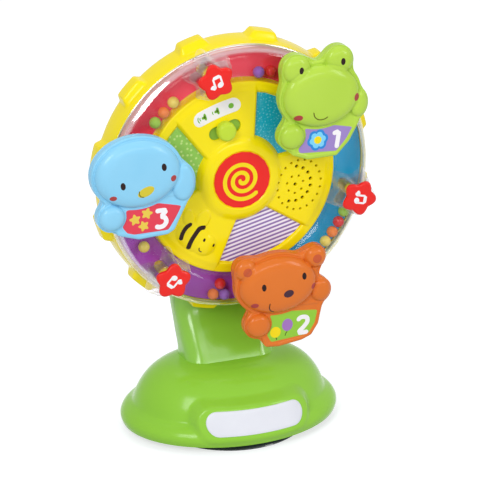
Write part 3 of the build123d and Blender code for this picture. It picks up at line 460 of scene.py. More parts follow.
# A darker hairline marks the seam between the two half shells.
seam_y, seam_half = 0.017, 0.00022
seam_abs, tree = material("green_abs_with_seam")
depth = add(tree, "SeparateXYZ", {0: add(tree, "TexCoord").outputs["Object"]}).outputs["Y"]
off = add(tree, "Math", {0: depth, 1: seam_y}, operation="SUBTRACT")
off = add(tree, "Math", {0: off}, operation="ABSOLUTE")
line = add(tree, "Math", {0: off, 1: seam_half}, operation="LESS_THAN")
green = drifting(tree, "#86C236", "#92CC40", 50.0)
inputs = {
    "Base Color": add(tree, "Mix", {0: line, 6: green, 7: linear("#4E8A1E")}, data_type="RGBA").outputs[2],
    "Roughness": uneven(tree, 0.14, 0.22, 11.0, 3.0),
    "Normal": add(tree, "Bump", {"Height": grain(tree, 7.0, 1.0), "Strength": 0.5, "Distance": 0.00004}),
    "IOR": 1.52,
}
add(tree, "OutputMaterial", {"Surface": add(tree, "BsdfPrincipled", inputs)})
neck = piece("neck_smooth", [(points, faces[~cut]), *wells], seam_abs, "stand", closed=False)
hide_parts("neck_front", "neck_rear")

# Axle, clip and bush
# A ground steel axle is pressed into the neck. The wheel turns on it with a white acetal bush,
# and a sprung steel clip keeps it on.

# Ground steel is darker and sharper than the plated screws, with very fine marks.
ground, tree = material("ground_steel")
tint, dull = drifting(tree, "#8F9498", "#B4B9BD", 3.0), uneven(tree, 0.16, 0.3, 0.5, 5.0)
bright = add(tree, "BsdfPrincipled", {"Base Color": tint, "Metallic": 1.0, "Roughness": dull})
add(tree, "OutputMaterial", {"Surface": bright})
dress(ground, "axle", "axle_clip", "battery_contacts")
# Acetal is a milky white with a soft, almost waxy shine.
acetal = moulded("white_acetal_moulded", "#E9EAE6", "#F4F4F0", gloss=0.34, wave=3.0)
dress(acetal, "wheel_bush")

# Rear shell and rim
# One deep yellow moulding carries the whole wheel. Twelve round knuckles stand out of its rim so
# that small hands can push it round. Its back has three screw wells and the battery door's recess.
wheel_turn, back_h = 17.2, -26.5
star_angles = [wheel_turn + 90 + 120 * k for k in range(3)]
animal_angles = [wheel_turn + 30 + 120 * k for k in range(3)]
knuckle_swell, knuckle_half_length, knuckle_half_width, knuckle_middle_h = 4.3, 10.6, 7.6, -15.0
shell_well_ring_r, shell_well_r = 57.0, 3.1
door_r, door_half_length, door_half_width = 54.3, 27.0, 12.3


def turned(profile, columns=240, centre=(0.0, 0.0)):
    """Loops turned about a line through a place on the wheel from a line of (radius, h)."""
    turns = np.linspace(0, 2 * pi, columns, endpoint=False)
    radius, h = np.asarray(profile, float).T[..., None]
    return on_wheel(radius * np.cos(turns) + centre[0], radius * np.sin(turns) + centre[1], h)


def at_angle(radius, angle):
    """A place on the wheel from its radius and angle."""
    return np.array([radius * cos(radians(angle)), radius * sin(radians(angle))])


def along_spoke(x, y, angle):
    """How far a place is out along the spoke at an angle, and how far across it."""
    c, s = cos(radians(angle)), sin(radians(angle))
    return x * c + y * s, y * c - x * s


def from_spoke(out, across, angle):
    """The place on the wheel that lies so far out along the spoke at an angle, and across it."""
    c, s = cos(radians(angle)), sin(radians(angle))
    return np.stack([out * c - across * s, out * s + across * c], -1)


def raised_max(a, b, soft):
    """The larger of two fields with a soft fillet where they meet."""
    return (a + b + np.sqrt((a - b) ** 2 + soft**2)) / 2


# The yellow is strong and even, and its rounds catch long soft highlights.
yellow_abs = moulded("yellow_abs_moulded", "#F9E006", "#FDE710", gloss=0.16)
dress(yellow_abs, "rear_shell", "battery_door", "console_front")
back_flat = [(r, back_h) for r in np.linspace(7.5, 78.0, 44)]
rim_line = curve(
    [(79.0, back_h), (84.2, -26.0), (87.9, -23.7), (89.3, -20.4), (89.5, -17), (89.3, -13), (88.9, -9),
     (88.3, -5.5), (87.9, -3.6), (87.3, -2.8), (86.7, -3.2)],
    56,
)
inside_line = [
    (86.4, -4.0), (86.4, -5.2), (85.5, -5.4), (85.5, -9.95), (62.4, -9.95), (62.4, -24.3), (12.5, -24.3),
    (12.5, -14), (7.5, -14),
]
shell_line = np.concatenate([back_flat, rim_line, inside_line, back_flat[:1]])
turns = np.radians(np.linspace(0, 360, 640, endpoint=False))
radius, h = shell_line[:, :1], shell_line[:, 1:]
off_knuckle = (np.degrees(turns) - wheel_turn + 15) % 30 - 15
side = np.abs(88.0 * np.sin(np.radians(off_knuckle)))
swell = eased((knuckle_half_length - side) / 4.2)
swell = swell * eased((knuckle_half_width - np.abs(h - knuckle_middle_h)) / 3.4)
radius = radius + knuckle_swell * swell * (radius > 80)
points, faces = skin(on_wheel(radius * np.cos(turns), radius * np.sin(turns), h), ends=False)
x, y, h = face_places(points, faces)
wells = [at_angle(shell_well_ring_r, angle) for angle in animal_angles]
door_u, door_v = along_spoke(x, y, star_angles[0])
cut = (np.abs(door_u - door_r) < door_half_width + 0.3) & (np.abs(door_v) < door_half_length + 0.3)
cut = (cut | near(x, y, wells, shell_well_r + 0.1)) & (h < back_h + 0.1)
edges = [opening(round_line(place, shell_well_r), place, flat(back_h), 5.4, 1.4, -1.0) for place in wells]
along = np.linspace(-door_half_length, door_half_length, 28)
over = np.linspace(-door_half_width, door_half_width, 14)[1:-1]
door_v = np.concatenate([along, np.full(12, door_half_length), along[::-1], np.full(12, -door_half_length)])
door_u = np.concatenate([np.full(28, -door_half_width), over, np.full(28, door_half_width), over[::-1]])
door_line = from_spoke(door_r + door_u, door_v, star_angles[0])
edges.append(opening(door_line, at_angle(door_r, star_angles[0]), flat(back_h), 2.2, 1.6, -1.0))
shell_skins = [(points, faces[~cut]), *edges]
shell = piece("rear_shell_smooth", shell_skins, yellow_abs, "wheel", closed=False)
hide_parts("rear_shell")

# Board, switches, speaker and cells
# These sit inside the wheel: a green fibre-glass board, black moulded parts, milky lamps and
# button-top cells in printed sleeves.

# The lacquer is clear green, and the weave under it shows as a fine mottle, drawn coarser than the
# real one so that it shows.
solder_mask, tree = material("solder_mask_on_glass_fibre")
weave = add(tree, "TexVoronoi", {"Vector": add(tree, "TexCoord").outputs["Object"], "Scale": 600.0})
tint = {0: weave, 6: linear("#0E5A2B"), 7: linear("#1C7A3E")}
tint = add(tree, "Mix", tint, data_type="RGBA").outputs[2]
coated = add(tree, "BsdfPrincipled", {"Base Color": tint, "Roughness": 0.32, "IOR": 1.5})
add(tree, "OutputMaterial", {"Surface": coated})
dress(solder_mask, "circuit_board", "star_boards")
# The black parts are satin, the lamps' resin is milky, and the sleeves are grey with a slight gloss.
black_abs = moulded("black_abs_moulded", "#121212", "#1D1D1E", gloss=0.4, wave=1.5)
dress(black_abs, "volume_switch", "song_chip", "motion_switch", "speaker", "star_switches")
lamp_resin = moulded("milky_lamp_resin", "#F2ECD8", "#FBF7EA", gloss=0.25, wave=2.0)
dress(lamp_resin, "star_leds")
cell_sleeve = moulded("printed_cell_sleeve", "#3B3E44", "#5A5E66", gloss=0.3, wave=2.0)
dress(cell_sleeve, "batteries")

# Bead trays
# Three coloured troughs form the floor of the bead channel, from one animal post to the next.
# They are glossy polystyrene, in one strong colour each.
tray_inner, tray_outer, tray_under_h, tray_gap = 64.9, 85.3, -9.7, 0.15
tray_colours = {
    "tray_red": ("#F62E46", "#FE4A60"),
    "tray_purple": ("#AC42BC", "#BC56CC"),
    "tray_blue": ("#12AAE6", "#28BAF2"),
}


def tray_floor(radius):
    """The trough's height: highest at its edges and 2 mm lower in the middle."""
    share = (radius - (tray_inner + tray_outer) / 2) / ((tray_outer - tray_inner) / 2)
    return -6.3 - 2.0 * (1 - share**2)


def arc_loops(line, low, high, columns):
    """Closed sections of a line of (radius, h) carried along an arc of the wheel."""
    radius, h = np.asarray(line, float).T
    turns = np.radians(np.linspace(low, high, columns))[:, None]
    return on_wheel(radius * np.cos(turns), radius * np.sin(turns), h)


reach = np.linspace(tray_inner, tray_outer, 25)
tray_line = [*zip(reach, tray_floor(reach)), (tray_outer, tray_under_h), (tray_inner, tray_under_h)]
for (name, (low, high)), start in zip(tray_colours.items(), animal_angles):
    finish = moulded(name.replace("tray", "polystyrene"), low, high, gloss=0.14, patch=30.0)
    loops = arc_loops(tray_line, start + tray_gap, start + 120 - tray_gap, 130)
    tray = piece(name + "_trough", [skin(loops)], finish, "wheel")
    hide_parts(name)

# Beads
# Loose glossy beads roll in the channel and rattle. They are spheres of solid polystyrene in five
# clear bright colours, which catch a sharp highlight. Each is given by its radius and angle.
bead_r, bead_over_tray = 3.7, 4.4
bead_colours = {
    "purple": ("#8E4FB4", "#A565C6"),
    "red": ("#D9262C", "#E83A38"),
    "orange": ("#F67A2A", "#FC9040"),
    "yellow": ("#F4D450", "#FAE070"),
    "green": ("#98C43A", "#AAD44C"),
}
bead_finish = {
    name: moulded("polystyrene_bead_" + name, low, high, gloss=0.1, wave=4.0)
    for name, (low, high) in bead_colours.items()
}
bead_clusters = {
    "beads_red_right": [(68.9, 78.4, "purple"), (70.6, 71.8, "red")],
    "beads_red_left": [(69.2, 128.2, "yellow"), (69.0, 135.4, "orange"), (69.4, 142.2, "green")],
    "beads_blue": [
        (80.7, 334.9, "green"), (80.7, 329.45, "red"), (80.7, 324.0, "orange"), (80.7, 318.65, "yellow"),
    ],
    "beads_purple_right": [(73.6, 260.8, "red"), (80.7, 258.0, "orange"), (80.7, 263.6, "purple")],
    "beads_purple_left": [(74.4, 212.3, "yellow")],
}


def ball(place, h, radius):
    """Loops of a sphere: circles whose radius is the sine of the angle from its pole."""
    tilt = np.linspace(0.02, pi - 0.02, 15)
    return turned(np.stack([radius * np.sin(tilt), h - radius * np.cos(tilt)], -1), 28, place)


for cluster, beads in bead_clusters.items():
    for number, (radius, angle, colour) in enumerate(beads, 1):
        loops = ball(at_angle(radius, angle), tray_floor(radius) + bead_over_tray, bead_r)
        bead = piece(f"{cluster}_{number}", [skin(loops)], bead_finish[colour], cluster)
        if number == 1:
            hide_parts(cluster)

# Console
# The yellow front moulding has a hub dome and three broad raised petals inside a low lip. One
# petal has the grille, one the volume slot, and one a bee in relief.
sector_h, console_r, petal_end_r, hub_flat_r = -1.2, 64.1, 62.5, 19.4
grille_r, slot_r, slot_half_length, slot_half_height = 41.0, 35.6, 10.8, 4.3
hub_line = curve(
    [(0, 4.05), (18.0, 4.05), (18.9, 4.1), (19.3, 4.6), (21.5, 4.55), (24, 3.95), (26, 2.95), (27.4, 1.7),
     (28.4, 0.2), (29, -1.2)],
    80,
)
# The bee's body, head and two wings: height, middle, half widths, turn, and how square each is.
bee_relief = [
    (1.9, (-31.5, -35.5), (13.6, 9.0), -36, 2.2, 0.7), (2.2, (-24.6, -41.3), (8.0, 7.6), -36, 2.2, 0.7),
    (1.1, (-25.6, -24.6), (7.4, 4.6), 62, 4.0, 0.5), (1.1, (-34.8, -21.8), (6.4, 4.2), 100, 4.0, 0.5),
]


def round_step(distance, width):
    """A quarter round that rises from 0 to 1 over a width."""
    return np.sqrt(1 - (1 - np.clip(distance / width, 0, 1)) ** 2)


def petal_half(out):
    """Half a petal's width at a distance out along its spoke: its straight sides flare by 20
    degrees."""
    return 17.0 + (out - 21.0) * 0.3657


def petal_half_angle(radius):
    """Half the angle that a petal spans at a radius, where its side crosses that circle. The
    distance out is found by repeating one step of Pythagoras six times."""
    held = np.clip(radius, 26.0, 59.0)
    out = held * 0.9
    for _ in range(6):
        out = np.sqrt(np.clip(held**2 - petal_half(out) ** 2, 1, None))
    return np.degrees(np.arctan2(petal_half(out), out))


def turned_oval(x, y, middle, half, angle):
    """The share of an oval's half widths at which a point lies, for an oval turned by an angle."""
    u, v = along_spoke(x - middle[0], y - middle[1], angle)
    return np.hypot(u / half[0], v / half[1])


def console_level(x, y):
    """The console's height at a place: the highest of the sector floor, lip, petals and hub dome,
    with soft fillets between them, and the bee's relief on top."""
    radius = np.hypot(x, y)
    lip = sector_h + 2.1 * round_step(radius - 57.2, 1.8) - 1.3 * (1 - round_step(console_r - radius, 1.6))
    level = np.maximum(lip, sector_h)
    for angle in star_angles:
        out, across = along_spoke(x, y, angle)
        inside = np.where(out > 5, (petal_half(out) - np.abs(across)) * 0.939, -9.0)
        top = 2.1 + 1.1 * eased((petal_end_r - radius) / 5.5)
        petal = sector_h + top * round_step(inside + 0.2, 2.2) * (radius < petal_end_r)
        level = raised_max(level, petal, 0.2)
    hub = np.interp(radius, *hub_line.T, right=-3.0)
    level = np.where(radius < hub_flat_r, hub, raised_max(level, hub, 0.9))
    bee = [
        height * np.clip(1 - turned_oval(x, y, middle, half, angle) ** power, 0, 1) ** root
        for height, middle, half, angle, power, root in bee_relief
    ]
    return level + np.max(bee, axis=0)


def grille_holes():
    """Speaker holes as x, y and radius on the wheel: one in the middle, a ring, a crescent and a
    few inside it, drawn about the grille's middle."""
    ring = np.radians(18.0 * np.arange(20))
    crescent = np.radians(-92 + 23.1 * np.arange(9))
    few = np.radians(25.7 + 51.4 * np.arange(7))
    u = [[-2.8], 14.7 * np.cos(ring), 11.8 * np.cos(crescent) - 4.0, 5.5 * np.cos(few) - 2.8]
    v = [[-0.5], 16.8 * np.sin(ring) - 0.4, 11.8 * np.sin(crescent) - 0.3, 6.0 * np.sin(few) - 0.5]
    u, v = np.concatenate(u), np.concatenate(v)
    size = np.concatenate([[1.15], np.full(20, 0.8), np.full(9, 1.15), np.full(7, 0.8)])
    return np.column_stack([from_spoke(u + grille_r, v, star_angles[2]), size])


# Rows of the grid run outwards and its columns follow the slanting sides of the petals, which lie
# at a share of 38, with the next petal's side at a share of 82.
radii = np.concatenate(
    [np.linspace(0.05, 17.8, 12), np.linspace(18.3, 20, 8), np.linspace(20.6, 30, 22),
     np.linspace(30.8, 56.6, 52), np.linspace(57.0, console_r, 30)]
)[:, None]
shares = np.concatenate(
    [np.linspace(-38, -34.5, 8), np.linspace(-34, 34, 78)[1:-1], np.linspace(34.5, 38, 8),
     np.linspace(38.4, 41, 8), np.linspace(42, 78, 30), np.linspace(79, 81.6, 8)]
)
wide = petal_half_angle(radii)
local = np.where(np.abs(shares) <= 38, shares * wide / 38.0, wide + (shares - 38.0) * (120 - 2 * wide) / 44.0)
angles = np.radians(np.concatenate([local + angle for angle in star_angles], axis=1))
x, y = radii * np.cos(angles), radii * np.sin(angles)
points, faces = skin(on_wheel(x, y, console_level(x, y)), ends=False)
mx, my, _ = face_places(points, faces)
holes = grille_holes()
cut = (np.hypot(mx[:, None] - holes[:, 0], my[:, None] - holes[:, 1]) < holes[:, 2] + 0.25).any(1)
out, across = along_spoke(mx, my, star_angles[0])
cut |= bar_gap(across, out - slot_r, slot_half_length, slot_half_height) < 0.3
skirt_line = np.array([(console_r, 0.0), (console_r, -3.0), (64.5, -5.0), (64.85, -6.5), (64.85, -9.7)])
skirt_h = np.where(skirt_line[:, 1:] == 0, console_level(x[-1], y[-1]), skirt_line[:, 1:])
grow = skirt_line[:, :1] / console_r
skirt = skin(on_wheel(grow * x[-1], grow * y[-1], skirt_h), ends=False)
console_skins = [(points, faces[~cut]), skirt]
console = piece("console_moulding", console_skins, yellow_abs, "wheel", closed=False)
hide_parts("console_front")

edges = [opening(round_line(hole[:2], hole[2], 20), hole[:2], console_level) for hole in holes]
slot_middle, bar = at_angle(slot_r, star_angles[0]), stadium(slot_half_length, slot_half_height)
slot_line = slot_middle + from_spoke(bar[:, 1], bar[:, 0], star_angles[0])
edges.append(opening(slot_line, slot_middle, console_level, depth=4.4, cover=1.0))
piece("console_openings", edges, yellow_abs, "wheel", closed=False)

# Printing on the bee: thin ink in dark brown, padded on after moulding.


def spot(middle, half, level, angle=0.0, lift=0.05, origin=(0.0, 0.0), shape=None):
    """A printed oval, or another outline by its share of the oval at each angle, that follows a
    surface: rings from its middle out, then down into the surface."""
    turns = np.linspace(0, 2 * pi, 40, endpoint=False)
    share = np.ones(40) if shape is None else shape(turns)
    sizes, heights = (0.02, 0.35, 0.7, 0.96, 1.0, 1.0), (lift, lift, lift, lift, lift * 0.4, -0.25)
    rows = []
    for size, height in zip(sizes, heights):
        u, v = half[0] * size * share * np.cos(turns), half[1] * size * share * np.sin(turns)
        x, y = (from_spoke(u, v, angle) + middle).T
        rows.append(on_wheel(x + origin[0], y + origin[1], level(x, y) + height))
    return skin(rows)


def band(path, width, level, lift=0.05, origin=(0.0, 0.0), blunt=True):
    """A printed line: a flat section carried along a path over a surface, with round ends, or with
    ends that taper to a point."""
    path = np.asarray(path, float)
    way = np.gradient(path, axis=0)
    way /= np.linalg.norm(way, axis=1, keepdims=True)
    side = np.stack([-way[:, 1], way[:, 0]], -1)
    run = np.concatenate([[0], np.cumsum(np.linalg.norm(np.diff(path, axis=0), axis=1))])
    end = np.minimum(run, run[-1] - run)
    zone = width / 2 if blunt else run[-1] / 2
    half = (width / 2 * np.sqrt(np.clip(1 - (1 - np.clip(end / zone, 0, 1)) ** 2, 0.002, 1)))[:, None]
    rows = []
    for edge, height in ((-1, -0.2), (-1, lift), (-0.33, lift), (0.33, lift), (1, lift), (1, -0.2)):
        x, y = (path + side * half * edge).T
        rows.append(on_wheel(x + origin[0], y + origin[1], level(x, y) + height))
    return skin(np.stack(rows, 1))


dark_ink = moulded("padded_ink_dark_brown", "#1E0804", "#2A0E08", gloss=0.3, wave=3.0)
outer_stripe = curve([(-33.0, -25.4), (-36.8, -27.6), (-39.5, -31.2), (-40.8, -36.0)], 26)
inner_stripe = curve([(-23.4, -29.6), (-27.2, -29.4), (-31.6, -33.4), (-34.6, -38.4), (-35.9, -43.0)], 30)
bee_marks = [
    band(outer_stripe, 2.6, console_level),
    band(inner_stripe, 3.0, console_level),
    spot((-25.2, -37.6), (0.75, 1.15), console_level, -30, 0.12),
    spot((-18.8, -42.3), (0.75, 1.15), console_level, -30, 0.12),
    band(curve([(-28.7, -42.2), (-28.6, -44.4), (-26.9, -45.6)], 14), 0.6, console_level, 0.12),
]
piece("bee_print", bee_marks, dark_ink, "wheel")

# Sector panels
# Thin printed sheets lie in the three hollows between the petals: teal with pale rings, light
# green with pale dots, and white with purple stripes. The print sits under a clear satin film.


def printed(tree, paper, ink, share):
    """Ends a printed sheet's tree: the ink's hex colour lies over the paper's by a share, and a
    satin film over both."""
    inputs = {0: share, 6: linear(paper), 7: linear(ink)}
    colour = add(tree, "Mix", inputs, data_type="RGBA").outputs[2]
    film = {"Base Color": colour, "Roughness": uneven(tree, 0.224, 0.364, 1.2, 3.0), "IOR": 1.48}
    add(tree, "OutputMaterial", {"Surface": add(tree, "BsdfPrincipled", film)})


def flat_place(tree):
    """Object coordinates with the depth left out, so that a print lies flat on the wheel."""
    parts = add(tree, "SeparateXYZ", {0: add(tree, "TexCoord").outputs["Object"]}).outputs
    return add(tree, "CombineXYZ", {"X": parts["X"], "Y": parts["Z"]})


def from_dots(tree, size, spread):
    """How far each point is from the nearest of loosely spread dots, this many millimetres apart."""
    inputs = {"Vector": flat_place(tree), "Scale": 1000.0 / size, "Randomness": spread}
    return add(tree, "TexVoronoi", inputs, voronoi_dimensions="2D")


# Small pale dots on teal, stronger and weaker in rings about a coarser field of dots.
teal_print, tree = material("printed_teal_sheet")
rings = add(tree, "Math", {0: from_dots(tree, 8.5, 0.55), 1: 26.0}, operation="MULTIPLY")
strength = add(tree, "MapRange", {0: add(tree, "Math", {0: rings}, operation="SINE"), 3: 0.1, 4: 0.62})
inputs = {0: from_dots(tree, 1.7, 0.9), 1: 0.18, 2: 0.42, 3: 1.0, 4: 0.0}
dots = add(tree, "MapRange", inputs, interpolation_type="SMOOTHSTEP")
pale = add(tree, "Math", {0: dots, 1: strength}, operation="MULTIPLY")
printed(tree, "#04A6C2", "#8ADEE8", pale)
dress(teal_print, "panel_teal")

# Larger pale dots on light green.
green_print, tree = material("printed_green_sheet")
inputs = {0: from_dots(tree, 3.6, 0.6), 1: 0.13, 2: 0.27, 3: 1.0, 4: 0.0}
printed(tree, "#8CC44A", "#C0DE80", add(tree, "MapRange", inputs, interpolation_type="SMOOTHSTEP"))
dress(green_print, "panel_green")

# Leaning purple stripes on white, 2.65 mm from one to the next.
stripe_pitch, stripe_lean = 0.00265, radians(-14.0)
stripe_print, tree = material("printed_striped_sheet")
leaning = add(tree, "Mapping", {"Vector": flat_place(tree), "Rotation": (0.0, 0.0, stripe_lean)})
run = add(tree, "SeparateXYZ", {0: leaning}).outputs["Y"]
phase = add(tree, "Math", {0: run, 1: 2 * pi / stripe_pitch}, operation="MULTIPLY")
inputs = {0: add(tree, "Math", {0: phase}, operation="SINE"), 1: -0.34, 2: 0.1, 3: 1.0, 4: 0.0}
printed(tree, "#F4EEFA", "#8A6BAE", add(tree, "MapRange", inputs, interpolation_type="SMOOTHSTEP"))
dress(stripe_print, "panel_stripes")

# Spiral disc
# A red disc is pressed into the hub, with one thick yellow spiral printed on it.
disc_h, spiral_rounds, spiral_end, spiral_width = 4.65, 2.45, -40, 2.7
# The red is strong and glossy, and the ink stands on it a little duller.
red_abs = moulded("red_abs_moulded", "#EA1E1A", "#F22A20", gloss=0.15)
dress(red_abs, "spiral_disc")
yellow_ink = moulded("padded_ink_yellow", "#F6D80C", "#FAE11A", gloss=0.22, wave=3.0)
turns = np.radians(np.linspace(spiral_end - spiral_rounds * 360, spiral_end, 260))
reach = np.linspace(0.6, 13.6, 260)
spiral = band(np.stack([reach * np.cos(turns), reach * np.sin(turns)], -1), spiral_width, flat(disc_h))
piece("spiral_print", [spiral], yellow_ink, "wheel")

# Volume label and slide
# A white inset names the three settings with a dot and two small loudspeakers. The slide below
# it is a yellow-green knob whose plate fills the slot behind it.
label_r, label_h, label_bend, label_shift, knob_ring_r = 48.4, 2.2, 1.2, -1.4, 35.4
label_half_length, label_half_width = 16.2, 4.8
# The white and the lime are glossy. The slot's plate is the same lime plastic, painted a darker green as
# painted shade for the slot and made duller, so the knob stands out from it.
white_abs = moulded("white_abs_moulded", "#EDEBE6", "#F6F4F0", gloss=0.24)
dress(white_abs, "volume_label")
lime_abs = moulded("lime_abs_moulded", "#B8D62C", "#C8E040", gloss=0.2)
dress(lime_abs, "volume_knob")
green_ink = moulded("padded_ink_green", "#6FAF2C", "#7BB838", gloss=0.3, wave=3.0)
# Painted shade: the slot's plate is the knob's lime plastic, darkened to the green it shows in the shade of
# the slot.
slot_plate_painted_shade = moulded("lime_abs_slot_plate_painted_shade", "#84B032", "#90BC3C", gloss=0.3)


def on_label(u, v):
    """A place on the volume label, u to the right and v towards the rim. Its middle line is a
    parabola that bends round the hub."""
    u, v = np.asarray(u, float), np.asarray(v, float)
    return from_spoke(label_r + v + label_bend * (1 - (u / 16.0) ** 2), -u, star_angles[0])


slab = stadium(label_half_length, label_half_width)
sizes, heights = (0.01, 0.7, 0.97, 1.0, 1.0, 0.01), (label_h, label_h, label_h, label_h - 0.15, 1.2, 1.2)
rows = []
for size, h in zip(sizes, heights):
    x, y = on_label(size * slab[:, 0] + label_shift, size * slab[:, 1]).T
    rows.append(on_wheel(x, y, h))
label = piece("volume_label_smooth", [skin(rows)], white_abs, "wheel")
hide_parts("volume_label")

marks = [spot(on_label(8.4, 0), (1.8, 1.8), flat(label_h))]
arc = np.radians(np.linspace(138, 222, 14))
for u, waves in ((-3.2, 1), (-12.1, 2)):
    marks.append(band(on_label(np.linspace(u, u + 2.8, 8), np.zeros(8)), 2.0, flat(label_h), blunt=False))
    marks.append(band(on_label(np.full(8, u + 2.5), np.linspace(-2.5, 2.5, 8)), 1.6, flat(label_h)))
    for reach in (1.7, 3.05)[:waves]:
        marks.append(band(on_label(u + 0.5 + reach * np.cos(arc), reach * np.sin(arc)), 0.65, flat(label_h)))
piece("volume_print", marks, green_ink, "wheel")

knob_place = at_angle(knob_ring_r, star_angles[0])
slide = stadium(slot_half_length - 0.1, slot_half_height - 0.1)
slide = from_spoke(slide[:, 1], slide[:, 0], star_angles[0])
rows = [
    on_wheel(*(knob_place + size * slide).T, h)
    for size, h in ((0.01, 0.7), (0.6, 0.7), (1.0, 0.7), (1.0, -0.6), (0.01, -0.6))
]
# This plate carries the painted shade of the slot, a darker copy of the knob's lime.
piece("volume_slot_plate", [skin(rows)], slot_plate_painted_shade, "wheel")
knob_line = curve(
    [(3.0, 2.85), (5.7, 2.9), (6.05, 3.3), (6.05, 5.6), (5.8, 6.8), (4.9, 7.5), (3.2, 7.75), (0.1, 7.8)], 40
)
knob = turned(knob_line, 64, knob_place)
piece("volume_knob_cap", [skin(knob)], lime_abs, "volume_slider")

# Posts, clear cover and towers
# A clear polystyrene ring closes the channel over the beads. Clear star-shaped towers stand on it
# round the yellow stems and posts, and catch sharp reflections in their flutes.
post_ring_r, cover_crown_r, cover_half, cover_wall = 76.0, 75.25, 11.15, 1.4
cover_inner, cover_outer, band_inner, band_outer = 64.1, 86.4, 0.0826, 0.0844
stem_bore_r, post_bore_r, tower_waist = 4.3, 5.7, 0.66
# The posts are a slightly deeper yellow than the console, and a little less glossy.
post_abs = moulded("yellow_abs_posts", "#F3D40A", "#F9DF18", gloss=0.2)
dress(post_abs, "hanger_posts", "hanger_caps", "star_stem_1", "star_stem_2", "star_stem_3")


def clear_gloss(tree, wave, strength, depth, rough):
    """The gloss on clear plastic with a faint ripple, and how far each point slants away from the
    eye, because the gloss grows with that. The wave is in millimetres and the depth in metres."""
    ripple = add(tree, "Bump", {"Height": grain(tree, wave, 1.0), "Strength": strength, "Distance": depth})
    inputs = {"Color": linear("#FFFFFF"), "Roughness": uneven(tree, *rough, 6.0), "Normal": ripple}
    facing = add(tree, "LayerWeight", {"Blend": 0.5, "Normal": ripple}).outputs["Facing"]
    return add(tree, "BsdfGlossy", inputs), facing


# The cover's gloss grows with slant, and past the radius of its band it is raised further as a painted
# reflection, so the steep outer wall stands out as a pale ring.
clear, tree = material("clear_polystyrene_moulded")
gloss, facing = clear_gloss(tree, 9.0, 0.6, 0.00012, (0.03, 0.08))
slant = add(tree, "Math", {0: facing, 1: 4.0}, operation="POWER")
slant = add(tree, "MapRange", {0: slant, 3: 0.012, 4: 0.9})
place = add(tree, "SeparateXYZ", {0: add(tree, "TexCoord").outputs["Object"]}).outputs
up = add(tree, "Math", {0: place["Z"], 1: axle_z / 1000.0}, operation="SUBTRACT")
reach = add(tree, "VectorMath", {0: add(tree, "CombineXYZ", {"X": place["X"], "Y": up})}, operation="LENGTH")
# Painted reflection: from band_inner to band_outer the gloss share rises with radius alone, up to 0.26.
edge = {0: reach.outputs["Value"], 1: band_inner, 2: band_outer, 3: 0.012, 4: 0.26}
outer = add(tree, "MapRange", edge, interpolation_type="SMOOTHSTEP")
share = add(tree, "Math", {0: slant, 1: outer}, operation="MAXIMUM")
through = add(tree, "BsdfTransparent", {"Color": linear("#FBFCFD")})
add(tree, "OutputMaterial", {"Surface": add(tree, "MixShader", {0: share, 1: through, 2: gloss})})


def cover_level(radius, inset=0.0):
    """The clear cover's height: a flattened parabola from its inner shoulder to its outer one."""
    share = np.abs(radius - cover_crown_r) / cover_half
    return 0.4 + 4.6 * (1 - share**2.7) - inset


reach = np.linspace(cover_inner, cover_outer, 34)
under = np.linspace(85.0, 65.5, 30)
flange = [(86.7, -0.5), (86.9, -1.3), (87.6, -1.5), (87.85, -1.8), (87.85, -2.3), (87.6, -2.6)]
flange += [(86.3, -2.7), (86.2, -5.0), (85.6, -5.0), (85.4, -1.8)]
line = [(cover_inner, -0.25), *zip(reach, cover_level(reach)), *flange]
line += [*zip(under, cover_level(under, cover_wall)), (65.4, -0.25)]
points, faces = skin(turned(line + line[:1], 360), ends=False)
x, y, _ = face_places(points, faces)
bored = near(x, y, [at_angle(post_ring_r, angle) for angle in star_angles], stem_bore_r)
bored |= near(x, y, [at_angle(post_ring_r, angle) for angle in animal_angles], post_bore_r)
cover = piece("bead_cover", [(points, faces[~bored])], clear, "wheel")
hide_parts("clear_cover")


def star_line(turns, tip, waist, blunt=1.0):
    """A star's radius at each angle: its reciprocal swings between that of the waist and the tip."""
    swing = ((1 + np.cos(5 * turns)) / 2) ** blunt
    return 1 / (swing / tip + (1 - swing) / (tip * waist))


def star_places(angle, count, *shape):
    """Places round a star on the ring of posts, with one point towards the rim."""
    turns = np.linspace(0, 2 * pi, count, endpoint=False)
    reach = star_line(turns, *shape)
    return (at_angle(post_ring_r, angle) + from_spoke(reach * np.cos(turns), reach * np.sin(turns), angle)).T


def tower(angle, top):
    """A fluted star that narrows upwards, hollow above a thick floor, on the curve of the cover."""
    foot, lean, wall, floor = 17.0, 0.25, 1.8, 7.0

    def ring(tip, height=None):
        """One star-shaped loop at a height, or on the cover where no height is given."""
        x, y = star_places(angle, 150, tip, tower_waist)
        low = np.maximum(cover_level(np.clip(np.hypot(x, y), 64.2, 86.3)) + 0.05, 0.9)
        return on_wheel(x, y, low if height is None else np.maximum(height, low + 0.3))

    edge = foot - lean * (top - 1.6)
    inner = edge - wall + lean * (top - floor)
    rows = [ring(0.1), ring(6.0), ring(12.0), ring(foot - 0.3), ring(foot, 2.0)]
    rows += [ring(foot - lean * (h - 1.6), h) for h in np.linspace(3.0, top - 0.5, 14)]
    rows += [ring(edge - 0.25, top - 0.12), ring(edge - 0.7, top)]
    rows += [ring(edge - 1.5, top - 0.15), ring(edge - wall, top - 0.6)]
    rows += [ring(edge - wall + lean * (top - h), h) for h in np.linspace(top - 1.2, floor + 0.6, 8)]
    rows += [ring(inner - 0.6, floor - 0.3), ring(inner * 0.6, floor - 0.5), ring(0.1, floor - 0.6)]
    return skin(rows)


